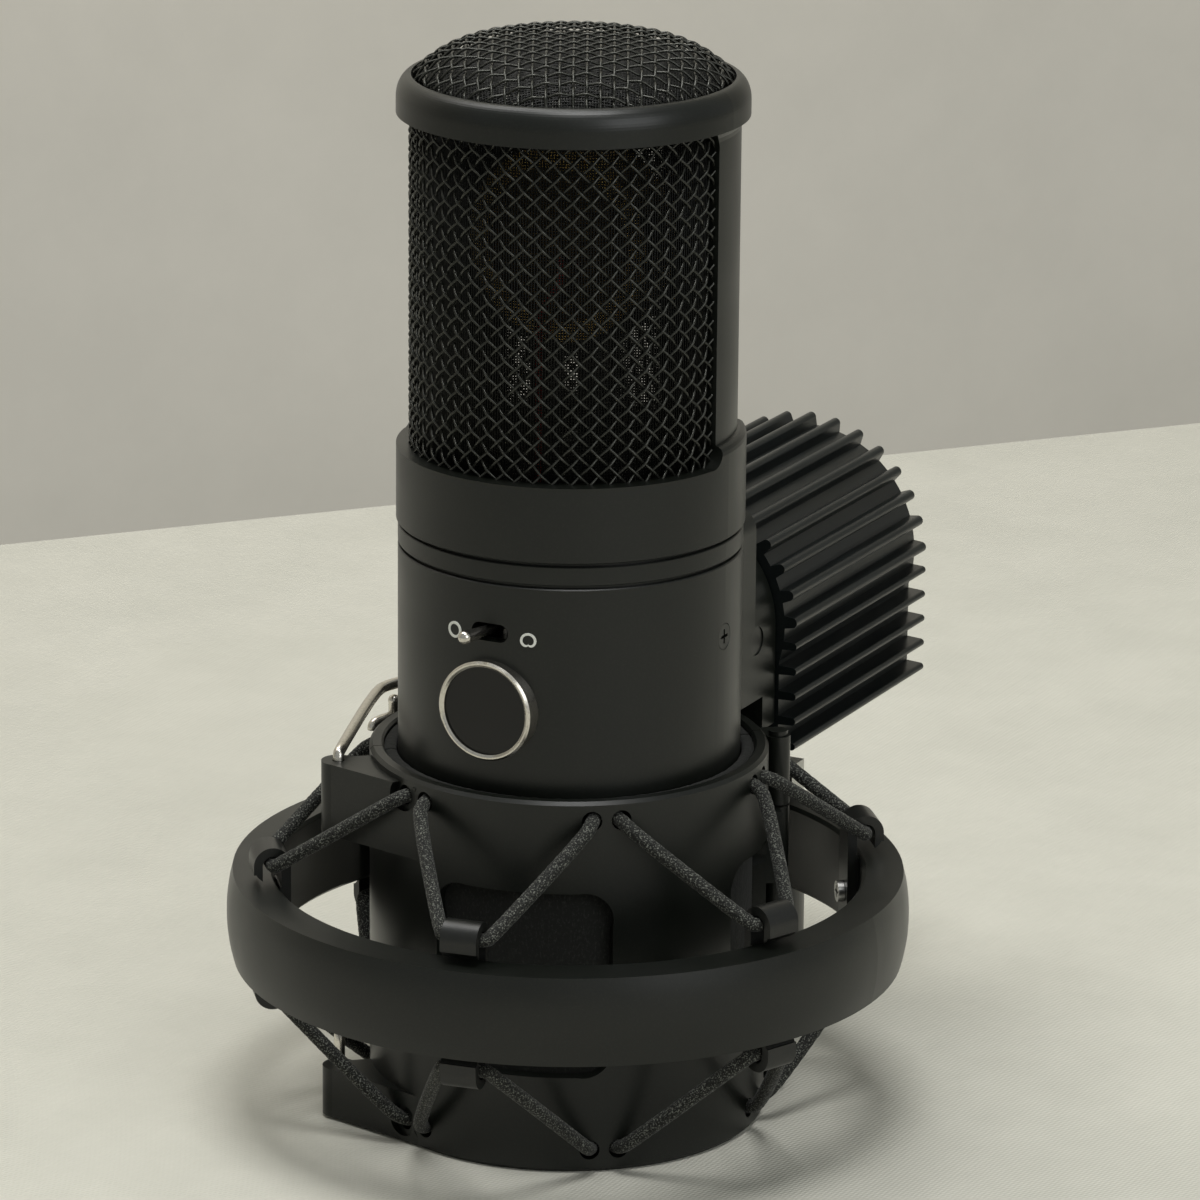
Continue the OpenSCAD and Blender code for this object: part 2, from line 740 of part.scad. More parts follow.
module body_tube() {
    color(satin_black) difference() {
        rotate_extrude() polygon([
            [body_in_r, mic_z], [body_r - 0.6, mic_z], [body_r, mic_z + 0.6], [body_r, body_top - 0.2],
            [body_r - 0.2, body_top], [body_in_r, body_top]
        ]);
        translate([0, -body_in_r + over, switch_z]) rotate([90, 0, 0]) {
            translate([-slot_half, -slot_h / 2, 0]) cube([2 * slot_half, slot_h, body_wall + 2 * over]);
            for (side = [-1, 1])
                translate([side * slot_half, 0, 0]) cylinder(r = slot_h / 2, h = body_wall + 2 * over);
        }
        translate([-bridge_half - 0.4, 15, bridge_z - 0.4])
            cube([2 * bridge_half + 0.8, body_r, bridge_h + 0.8]);
        for (side = [-1, 1])
            at_az(90 * side, 0, screw_z) rotate([90, 0, 0]) {
                translate([0, 0, body_r - 1.25]) cylinder(r1 = screw_d / 2 + 0.1, r2 = screw_head_d / 2 + 0.25, h = 1.35);
                translate([0, 0, body_in_r - over]) cylinder(r = screw_d / 2 + 0.1, h = body_wall + 2 * over);
            }
    }
}

module side_screws() {
    color(satin_black)
        for (side = [-1, 1])
            at_az(90 * side, 0, screw_z) rotate([90, 0, 0]) difference() {
                union() {
                    translate([0, 0, body_r - 1.25]) cylinder(r1 = screw_d / 2, r2 = screw_head_d / 2, h = 1.15);
                    translate([0, 0, rail_x - rail_t + 0.2]) cylinder(r = screw_d / 2, h = body_r - rail_x + rail_t - 1.4);
                }
                translate([0, 0, body_r]) cube([2.6, 0.55, 1.4], center = true);
                translate([0, 0, body_r]) cube([0.55, 2.6, 1.4], center = true);
            }
}

module base_plate() {
    color(satin_black) pipe(body_in_r - fixed_gap, 10.2, mic_z, base_top);
}

module connector_shell() {
    shell_r = 10.1;
    color(nickel) difference() {
        union() {
            disc(shell_r, mic_z + 0.6, mic_z + 17);
            disc(shell_r + 2.4, base_top, base_top + 1.5);
        }
        disc(8.6, mic_z, mic_z + 18);
    }
}

module connector_insert() {
    color([0.15, 0.15, 0.15]) difference() {
        disc(8.55, mic_z + 9, mic_z + 15);
        for (k = [0:6])
            rotate(45 * k) translate([5, 0, mic_z]) cylinder(r = 0.82, h = 20, $fn = 24);
    }
}

module connector_pins() {
    color(gold)
        for (k = [0:6])
            rotate(45 * k) translate([5, 0, mic_z + 3]) cylinder(r = 0.8, h = 14, $fn = 24);
}

module chassis() {
    color([0.6, 0.6, 0.62]) difference() {
        union() {
            for (side = [-1, 1])
                translate([side * (rail_x - rail_t / 2) - rail_t / 2, -rail_w / 2, base_top])
                    cube([rail_t, rail_w, rail_top - base_top]);
            translate([-rail_x + 0.5, -12, shelf_z]) intersection() {
                cube([2 * rail_x - 1, 24, shelf_t]);
                translate([rail_x - 0.5, 12, -over]) cylinder(r = body_in_r - 0.6, h = shelf_t + 2 * over);
            }
        }
        for (side = [-1, 1])
            at_az(90 * side, 0, screw_z) rotate([90, 0, 0]) translate([0, 0, rail_x - rail_t - over])
                cylinder(r = screw_d / 2 + 0.02, h = rail_t + 2 * over);
    }
}

module transformer() {
    core = [30, 12, 26];
    coil = [17, 20, 18];
    color([0.35, 0.33, 0.32]) {
        translate([-core[0] / 2, -core[1] / 2, shelf_z - core[2]]) cube(core);
        translate([-coil[0] / 2, -coil[1] / 2, shelf_z - core[2] / 2 - coil[2] / 2]) cube(coil);
    }
}

module circuit_board() {
    board = [40, 1.6, 36];
    color([0.1, 0.35, 0.2]) {
        translate([-board[0] / 2, -board_y, shelf_top - 4]) cube(board);
        for (k = [0:3])
            translate([-15 + 10 * k, -board_y - 2.2, shelf_top + 7]) cylinder(r = 2.4, h = 9);
        for (x = [-13, 13])
            translate([x - 2, -board_y - 2.6, shelf_top + 21]) cube([4, 2.6, 7]);
        for (side = [-1, 1])
            translate([side * 15 - 2, -board_y, shelf_z - 4]) cube([4, 5, 4]);
    }
}

module tube_socket() {
    color([0.85, 0.83, 0.78]) translate([0, tube_y, 0]) disc(tube_r + 0.8, shelf_top, shelf_top + socket_t);
}

module vacuum_tube() {
    glass_z = shelf_top + socket_t;
    color([0.75, 0.8, 0.82]) translate([0, tube_y, glass_z]) rotate_extrude() polygon(concat(
        [[0, 0], [tube_r - 1, 0], [tube_r, 1], [tube_r, 30]],
        [for (i = [1:5]) [tube_r * cos(16 * i), 30 + 5 * sin(16 * i)]],
        [[0.9, 36.4], [0, 37]]
    ));
}

// Copper block that carries the tube's heat through the back of the body
module heat_bridge() {
    color(copper) difference() {
        translate([-bridge_half, tube_y + 2, bridge_z]) cube([2 * bridge_half, sink_y - tube_y - 2.05, bridge_h]);
        translate([0, tube_y, 0]) disc(tube_r + 0.15, bridge_z - over, bridge_z + bridge_h + over);
    }
}

module switch_body() {
    half = 6;
    front = sqrt(pow(body_in_r - slide_gap, 2) - half * half);
    color([0.12, 0.12, 0.12]) difference() {
        translate([-half, -front, switch_z - 4]) cube([2 * half, front - board_y - 2.7, 8]);
        translate([-half + 1.2, -front - over, switch_z - 1.7]) cube([2 * half - 2.4, front - pivot_y + 3, 3.4]);
        translate([0, -pivot_y, 0]) disc(1.05, switch_z - 3.1, switch_z + 3.1);
    }
}

// Bat lever on an upright pivot pin, drawn at its left place
module switch_lever() {
    neck = 0.85;
    tip_r = lever_tip_d / 2;
    color(nickel) translate([0, -pivot_y, switch_z]) rotate([0, 0, -lever_swing / 2]) {
        disc(1, -3, 3);
        rotate([90, 0, 0]) {
            cylinder(r = neck, h = lever_len * 0.55);
            translate([0, 0, lever_len * 0.5]) cylinder(r1 = neck, r2 = tip_r * 0.96, h = lever_len * 0.5);
            translate([0, 0, lever_len]) sphere(r = tip_r);
        }
    }
}

// White symbols beside the switch: a ring on the left and a heart-shaped loop on the right
module pattern_marks() {
    heart = [for (i = [0:23]) let (t = 15 * i) [(1 - cos(t)) * sin(t), (cos(t) - 1) * cos(t) - 0.75]];
    grow = mark_d / 2.6;
    color([0.92, 0.92, 0.9]) {
        intersection() {
            pipe(body_r + 0.02 + mark_t, body_r + 0.02, mark_z - 4, mark_z + 4);
            at_az(-mark_angle, body_r - 2, mark_z) rotate([90, 0, 0])
                rotate_extrude() translate([mark_d / 2 - mark_line, 0]) square([mark_line, 5]);
        }
        intersection() {
            pipe(body_r + 0.02 + mark_t, body_r + 0.02, mark_z - 4, mark_z + 4);
            at_az(mark_angle, body_r - 2, mark_z) rotate([90, 0, 0]) linear_extrude(5) difference() {
                polygon(grow * heart);
                polygon((grow - mark_line * 0.75) * heart);
            }
        }
    }
}

module badge_rim() {
    rim_r = badge_d / 2;
    color(nickel) difference() {
        translate([0, -body_r - badge_proud, badge_z]) rotate([-90, 0, 0]) rotate_extrude() polygon([
            [rim_r - badge_rim_w, 0.3], [rim_r - badge_rim_w * 0.6, 0], [rim_r - 0.35, 0], [rim_r, 0.35],
            [rim_r, 6], [rim_r - badge_rim_w, 6]
        ]);
        disc(body_r + fixed_gap, badge_z - badge_d, badge_z + badge_d);
    }
}

module badge_face() {
    face_r = badge_d / 2 - badge_rim_w - 0.02;
    color([0.03, 0.03, 0.03]) difference() {
        translate([0, -body_r - badge_proud + 0.7, badge_z]) rotate([-90, 0, 0]) cylinder(r = face_r, h = 6);
        disc(body_r + fixed_gap, badge_z - badge_d, badge_z + badge_d);
    }
}

module middle_ring() {
    color(satin_black) rotate_extrude() polygon([
        [spigot_r - spigot_t, rail_top], [spigot_r, rail_top], [spigot_r, body_top], [groove_r, body_top],
        [groove_r, middle_z], [body_r - 0.15, middle_z], [body_r, middle_z + 0.15],
        [body_r, middle_top - 0.15], [body_r - 0.15, middle_top], [groove_r, middle_top],
        [groove_r, head_z], [spigot_r, head_z], [spigot_r, spigot_top], [spigot_r - spigot_t, spigot_top]
    ]);
}

module head_deck() {
    color([0.2, 0.2, 0.2]) difference() {
        disc(head_bore_r - 0.15, deck_z, deck_top);
        for (side = [-1, 1])
            translate([side * 14, 8, 0]) disc(2, deck_z - over, deck_top + over);
    }
}

// Head frame: two rings joined by two broad pillars
module head_section() {
    socket_r = spigot_r + fixed_gap;
    step = head_r - pillar_r;
    dome_in = dome_r + slide_gap;
    low_top = window_z + low_round;
    polygon(concat(
        [[socket_r, head_z], [head_r - 0.2, head_z], [head_r, head_z + 0.2], [head_r, low_top - step]],
        [for (i = [1:4]) [pillar_r + step * cos(22.5 * i), low_top - step + step * sin(22.5 * i)]],
        [[pillar_r, window_top - ring_round]],
        [for (i = [1:4]) [head_r - step * cos(22.5 * i), window_top - ring_round + 2 * sin(22.5 * i)]],
        [[head_r, head_top - top_round]],
        [for (i = [1:12])
            [dome_in + (head_r - dome_in) * cos(7.5 * i), head_top - top_round + top_round * sin(7.5 * i)]],
        [[dome_in, head_top - mesh_t - 0.3], [head_bore_r, head_top - mesh_t - 0.3],
         [head_bore_r, spigot_top], [socket_r, spigot_top]]
    ));
}

module front_cut(gap = 0) {
    arc_window(-front_half, front_half, window_z, window_top, window_r, pillar_r, gap);
}

module rear_cut(gap = 0) {
    arc_window(180 - rear_half, 180 + rear_half, window_z, window_top, window_r, pillar_r, gap);
}

module head_frame() {
    color(satin_black) difference() {
        rotate_extrude() head_section();
        front_cut();
        rear_cut();
    }
}

module front_mesh() {
    color([0.1, 0.1, 0.1]) intersection() {
        pipe(mesh_r, mesh_r - mesh_t, window_z - over, window_top + over);
        front_cut(mesh_gap);
    }
}

module rear_mesh() {
    color([0.1, 0.1, 0.1]) intersection() {
        pipe(mesh_r, mesh_r - mesh_t, window_z - over, window_top + over);
        rear_cut(mesh_gap);
    }
}

function dome_at(r, h) = h * (1 - 0.15 * pow(r, 2) - 0.85 * pow(r, 5));

// Domed wire cap, with a flat edge that lies on the ledge inside the upper ring
module dome_mesh() {
    steps = 10;
    edge_z = head_top - mesh_t - 0.2;
    color([0.1, 0.1, 0.1]) rotate_extrude() polygon(concat(
        [for (i = [0:steps]) [dome_r * i / steps, head_top + dome_at(i / steps, dome_h)]],
        [[dome_r, edge_z], [dome_r - mesh_t, edge_z]],
        [for (i = [steps:-1:0])
            [(dome_r - mesh_t) * i / steps, head_top - mesh_t + dome_at(i / steps, dome_h)]]
    ));
}

module inner_mesh() {
    color([0.16, 0.16, 0.15]) pipe(inner_mesh_r, inner_mesh_r - inner_mesh_t, deck_top, window_top + 1.5);
}

module capsule_post() {
    saddle_in = capsule_r + 0.1;
    saddle_half = capsule_t / 2 - 0.2;
    foot_r = 6.4;
    color([0.16, 0.14, 0.13]) {
        translate([-6, -saddle_half, deck_top]) cube([12, 2 * saddle_half, 8]);
        disc(foot_r, deck_top, deck_top + 3);
        for (side = [-1, 1])
            translate([side * 4.5 - 1.5, -saddle_half, deck_top + 7]) cube([3, 2 * saddle_half, capsule_rise - capsule_r - 7.2]);
        translate([0, saddle_half, capsule_z]) rotate([90, 0, 0]) linear_extrude(2 * saddle_half) difference() {
            circle(r = saddle_in + 1.8);
            circle(r = saddle_in);
            translate([-40, -saddle_in * 0.72]) square([80, 80]);
        }
    }
}

module capsule_body() {
    color(brass) translate([0, capsule_t / 2, capsule_z]) rotate([90, 0, 0]) cylinder(r = capsule_r, h = capsule_t);
}

// Rim on one face; side is -1 for the front and 1 for the rear
module rim(side) {
    translate([0, side * (capsule_t / 2 + rim_t / 2), capsule_z]) rotate([90, 0, 0]) difference() {
        rotate_extrude() translate([capsule_r - rim_w, -rim_t / 2]) square([rim_w, rim_t]);
        for (k = [0:11])
            rotate(30 * k + 15) translate([capsule_r - rim_w / 2, 0, 0])
                cylinder(r = 0.62, h = rim_t + 2, center = true, $fn = 24);
    }
}

module front_rim() {
    color(gold) rim(-1);
}

module rear_rim() {
    color(gold) rim(1);
}

module diaphragm(side) {
    t = 0.2;
    translate([0, side * (capsule_t / 2 + t / 2), capsule_z]) rotate([90, 0, 0])
        cylinder(r = capsule_r - rim_w - 0.1, h = t, center = true);
}

module front_diaphragm() {
    color(gold) diaphragm(-1);
}

module rear_diaphragm() {
    color(gold) diaphragm(1);
}

module rim_screws() {
    head_t = 0.6;
    color(brass)
        for (side = [-1, 1])
            for (k = [0:11])
                translate([0, side * (capsule_t / 2), capsule_z]) rotate([90 * side, 0, 0]) rotate(30 * k + 15)
                    translate([capsule_r - rim_w / 2, 0, 0]) mirror([0, 0, 1]) union() {
                        cylinder(r = 0.6, h = rim_t, $fn = 24);
                        translate([0, 0, rim_t]) cylinder(r = 1.1, h = head_t, $fn = 24);
                    }
}

// Insulated lead from the capsule down to the deck
module red_lead() {
    front = capsule_t / 2 + rim_t + 1.6;
    side = -2.6;
    color([0.5, 0.06, 0.06]) sweep([
        [0, -capsule_t / 2 - 0.9, capsule_z - 3], [1.2, -front + 0.4, capsule_z - 4.5],
        [1.5, -front, capsule_z - 6], [0, -front, capsule_z - 8.5], [side + 0.6, -front, capsule_z - 11],
        [side, -front, capsule_z - 13], [side, -front, capsule_z - 24],
        [side, -front, deck_top + 4], [side, -front, deck_top + 0.05]
    ], 0.6, 8);
}

// Outline of the saddle plate, seen from behind
module saddle_outline() {
    translate([-root_half, bracket_z]) square([2 * root_half, saddle_top - saddle_round - bracket_z]);
    translate([saddle_round - root_half, bracket_z])
        square([2 * (root_half - saddle_round), saddle_top - bracket_z]);
    for (side = [-1, 1])
        translate([side * (root_half - saddle_round), saddle_top - saddle_round]) circle(r = saddle_round);
}

// Bracket: a saddle plate on the body and an arched block that carries the finned block
module bracket() {
    color(satin_black) difference() {
        union() {
            translate([0, saddle_y, 0]) rotate([90, 0, 0]) linear_extrude(saddle_y - 15) saddle_outline();
            translate([0, bracket_y, arch_z]) rotate([90, 0, 0]) cylinder(r = root_half, h = bracket_y - 20);
            translate([-root_half, 20, bracket_z]) cube([2 * root_half, bracket_y - 20, arch_z - bracket_z]);
            for (x = [-root_half, foot_in_x])
                translate([x, bracket_y - foot_t, bracket_z - foot_drop])
                    cube([root_half - foot_in_x, foot_t, foot_drop + over]);
        }
        disc(body_r + fixed_gap, bracket_z - over, saddle_top + 10);
        translate([-root_half - over, 0, 0]) cube([2 * (root_half + over), bracket_y - foot_t, bracket_z]);
        translate([-foot_in_x, 0, 0]) cube([2 * foot_in_x, bracket_y + over, bracket_z]);
        translate([-bridge_half - 0.4, 15, bridge_z - 0.4]) cube([2 * bridge_half + 0.8, 40, bridge_h + 0.8]);
        for (side = [-1, 1])
            translate([side * root_half, saddle_y + 0.9, plug_z]) rotate([0, 90, 0])
                cylinder(r = plug_r + 0.03, h = 4, center = true);
        at_studs(bracket_y - stud_len / 2) cylinder(r = stud_r + 0.02, h = stud_len);
    }
}

module bracket_plugs() {
    color([0.12, 0.12, 0.12])
        for (side = [-1, 1])
            translate([side * (root_half - 1.1), saddle_y + 0.9, plug_z]) rotate([0, 90, 0])
                cylinder(r = plug_r, h = 1.7, center = true);
}

// Outline of the finned block, looking along it
module sink_outline() {
    module fin(base, root, tip) {
        depth = fin_reach - base;
        polygon([[-root / 2, -1], [root / 2, -1], [tip / 2, depth - tip / 2], [-tip / 2, depth - tip / 2]]);
        translate([0, depth - tip / 2]) circle(r = tip / 2 - 0.005, $fn = 24);
    }
    arch_fins = floor(88 / fin_angle);
    union() {
        translate([0, arch_z]) circle(r = arch_base_r);
        translate([-side_base, sink_bottom]) square([2 * side_base, arch_z - sink_bottom]);
        for (k = [-arch_fins:arch_fins])
            translate([0, arch_z]) rotate(fin_angle * k) translate([0, arch_base_r])
                fin(arch_base_r, arch_fin_root, arch_fin_tip);
        for (side = [-1, 1])
            for (k = [0:side_fins - 1])
                translate([side * side_base, arch_z - first_side_fin - fin_pitch * k]) rotate(-90 * side)
                    fin(side_base, fin_root, fin_tip);
    }
}

module heat_sink() {
    relief = 12;
    color(sink_black) difference() {
        translate([0, sink_end, 0]) rotate([90, 0, 0]) linear_extrude(sink_len) sink_outline();
        translate([-relief, sink_y - over, sink_bottom - over]) cube([2 * relief, 5, 4.4]);
        at_studs(bracket_y - stud_len / 2) cylinder(r = stud_r + 0.02, h = stud_len);
    }
}

// One place for each stud between the bracket and the finned block
module at_studs(y) {
    for (x = [-stud_x, stud_x])
        for (z = [arch_z - stud_x * 0.6, arch_z + stud_x * 0.6])
            translate([x, y, z]) rotate([-90, 0, 0]) children();
}

module sink_studs() {
    color(steel) at_studs(bracket_y - stud_len / 2 + 0.1) cylinder(r = stud_r, h = stud_len - 0.2);
}

rear_shell();
rear_liner();
hinge_pin();
front_shell();
front_liner();
link_bail();
latch_lever();
outer_ring();
clip(0);  // clip_1
clip(1);  // clip_2
clip(2);  // clip_3
clip(3);  // clip_4
clip(4);  // clip_5
clip(5);  // clip_6
ring_screws();
stand_lug();
stand_block();
thread_bush();
swivel_bolt();
clamp_knob();
upper_cord();
lower_cord();
body_tube();
base_plate();
connector_shell();
connector_insert();
connector_pins();
chassis();
transformer();
circuit_board();
tube_socket();
vacuum_tube();
heat_bridge();
switch_body();
switch_lever();
pattern_marks();
badge_rim();
badge_face();
side_screws();
middle_ring();
head_deck();
head_frame();
front_mesh();
rear_mesh();
dome_mesh();
inner_mesh();
capsule_post();
capsule_body();
front_rim();
rear_rim();
front_diaphragm();
rear_diaphragm();
rim_screws();
red_lead();
bracket();
bracket_plugs();
heat_sink();
sink_studs();
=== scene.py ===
# Tube condenser microphone in its ring shock mount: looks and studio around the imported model.
# Dictionary lengths are millimetres, azimuths are degrees from the front, growing toward +X.
import json
import math

import bpy
import numpy as np
from mathutils import Matrix, Vector


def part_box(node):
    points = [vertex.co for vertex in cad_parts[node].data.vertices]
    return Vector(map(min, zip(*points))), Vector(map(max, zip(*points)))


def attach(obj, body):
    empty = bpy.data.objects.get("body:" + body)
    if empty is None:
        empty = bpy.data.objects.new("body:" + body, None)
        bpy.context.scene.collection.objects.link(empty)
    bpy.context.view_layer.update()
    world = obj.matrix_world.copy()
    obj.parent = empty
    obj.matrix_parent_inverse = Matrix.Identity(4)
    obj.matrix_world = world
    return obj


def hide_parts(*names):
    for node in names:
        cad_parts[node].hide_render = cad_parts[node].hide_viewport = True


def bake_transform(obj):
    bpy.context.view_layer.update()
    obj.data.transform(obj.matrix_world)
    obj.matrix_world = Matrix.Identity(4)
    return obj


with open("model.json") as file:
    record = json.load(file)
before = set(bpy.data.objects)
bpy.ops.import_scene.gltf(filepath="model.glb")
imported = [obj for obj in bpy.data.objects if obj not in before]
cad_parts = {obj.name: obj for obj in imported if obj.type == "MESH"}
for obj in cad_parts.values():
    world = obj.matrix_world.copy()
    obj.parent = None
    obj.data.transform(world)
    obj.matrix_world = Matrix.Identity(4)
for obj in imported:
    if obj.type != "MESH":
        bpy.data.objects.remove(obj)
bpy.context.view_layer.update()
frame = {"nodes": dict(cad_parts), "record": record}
nodes = frame["nodes"]
scene = bpy.context.scene
mm = 0.001
print("frame loaded, %d nodes" % len(nodes))


def polar(azimuth, radius, height):
    turn = np.radians(np.asarray(azimuth, float))
    spot = np.broadcast_arrays(radius * np.sin(turn), -radius * np.cos(turn), height)
    return np.stack(spot, -1)


def unit(rows):
    return rows / np.maximum(np.linalg.norm(rows, axis=-1, keepdims=True), 1e-9)


def makePiece(name, points, faces, material, replaced=()):
    mesh = bpy.data.meshes.new(name)
    mesh.from_pydata((np.asarray(points, float) * mm).tolist(), [], faces)
    mesh.polygons.foreach_set("use_smooth", [True] * len(mesh.polygons))
    mesh.materials.append(material)
    mesh.update()
    piece = bpy.data.objects.new(name, mesh)
    scene.collection.objects.link(piece)
    if replaced:
        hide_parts(*replaced)
    return piece


def wireRings(path, outward, radius, sides, closed=False):
    # one ring of points round each point of a path; outward is the surface's direction there
    along = np.roll(path, -1, 0) - np.roll(path, 1, 0) if closed else np.gradient(path, axis=0)
    along = unit(along)
    side = unit(np.cross(along, outward))
    up = np.cross(side, along)
    turn = (2 * np.pi * np.arange(sides) / sides)[None, :, None]
    ring = np.cos(turn) * side[:, None, :] + np.sin(turn) * up[:, None, :]
    return path[:, None, :] + np.asarray(radius)[..., None] * ring


def softened(path, rounds=3, closed=False):
    # cuts the corners of a path, so that it bends as a wire or a cord does
    path = np.asarray(path, float)
    for _ in range(rounds):
        here, ahead = (path, np.roll(path, -1, 0)) if closed else (path[:-1], path[1:])
        cuts = np.stack([0.75 * here + 0.25 * ahead, 0.25 * here + 0.75 * ahead], 1).reshape(-1, 3)
        path = cuts if closed else np.vstack([path[:1], cuts, path[-1:]])
    return path


def ringFaces(first, rings, sides, closed=False):
    # four-sided faces between neighbour rings, and a lid on each end of an open wire
    row = np.arange(rings if closed else rings - 1)[:, None] * sides
    here = row + np.arange(sides)
    turned = row + (np.arange(sides) + 1) % sides
    total = rings * sides
    quads = np.stack([here, (here + sides) % total, (turned + sides) % total, turned], -1)
    faces = (first + quads).reshape(-1, 4).tolist()
    if not closed:
        faces.append(list(range(first, first + sides)))
        faces.append(list(range(first + total - sides, first + total))[::-1])
    return faces


def wirePiece(name, runs, radius, sides, material, replaced=()):
    # many wires in one mesh: a run is (path, outward, closed) and, where it tapers, its radii
    points, faces, first = [], [], 0
    for path, outward, closed, *taper in runs:
        radii = taper[0] if taper else np.full(len(path), radius)
        rings = wireRings(path, outward, radii[:, None], sides, closed)
        points.append(rings.reshape(-1, 3))
        faces += ringFaces(first, len(path), sides, closed)
        first += len(path) * sides
    return makePiece(name, np.concatenate(points), faces, material, replaced)


# Materials: each finish has its values here, and its grain or weave from noise in its nodes; the
# braided sleeve also paints shade into its gaps and glints onto its fibres, and the diaphragms'
# foil is gold darkened with painted shade

shaderSockets = ("Specular IOR Level", "Sheen Weight", "Sheen Roughness", "IOR",
                 "Transmission Weight")


def newMaterial(name, look):
    material = bpy.data.materials.new(name)
    material.use_nodes = True
    tree = material.node_tree
    shader = tree.nodes["Principled BSDF"]
    shader.inputs["Base Color"].default_value = (*look["colour"], 1)
    shader.inputs["Roughness"].default_value = look["rough"]
    shader.inputs["Metallic"].default_value = look.get("metal", 0)
    for socket in shaderSockets:
        if socket in look:
            shader.inputs[socket].default_value = look[socket]
    return material, tree, shader


def addNode(tree, kind, sockets=(), **settings):
    node = tree.nodes.new(kind)
    for key, value in settings.items():
        setattr(node, key, value)
    for key, value in dict(sockets).items():
        node.inputs[key].default_value = value
    return node


def grainNoise(tree, scale, stretch=(1, 1, 1), detail=3.0, rough=0.6):
    place = addNode(tree, "ShaderNodeTexCoord")
    stretched = addNode(tree, "ShaderNodeMapping", {"Scale": stretch})
    noise = addNode(tree, "ShaderNodeTexNoise",
                    {"Scale": scale, "Detail": detail, "Roughness": rough})
    tree.links.new(place.outputs["Object"], stretched.inputs["Vector"])
    tree.links.new(stretched.outputs["Vector"], noise.inputs["Vector"])
    return noise.outputs["Fac"]


def spread(tree, source, low, high, outLow=0, outHigh=1):
    ranged = addNode(tree, "ShaderNodeMapRange", {"From Min": low, "From Max": high,
                                                  "To Min": outLow, "To Max": outHigh})
    tree.links.new(source, ranged.inputs["Value"])
    return ranged.outputs["Result"]


def colourSockets(sockets):
    return [socket for socket in sockets if socket.type == "RGBA"]


def blendColours(tree, factor, first, second):
    # first is a colour, or the output of an earlier blend
    mix = addNode(tree, "ShaderNodeMix", data_type="RGBA")
    below, above = colourSockets(mix.inputs)
    if isinstance(first, tuple):
        below.default_value = (*first, 1)
    else:
        tree.links.new(first, below)
    above.default_value = (*second, 1)
    tree.links.new(factor, mix.inputs["Factor"])
    return colourSockets(mix.outputs)[0]


def addBump(tree, shader, height, strength, depth):
    bump = addNode(tree, "ShaderNodeBump", {"Strength": strength, "Distance": depth * mm})
    tree.links.new(height, bump.inputs["Height"])
    tree.links.new(bump.outputs["Normal"], shader.inputs["Normal"])


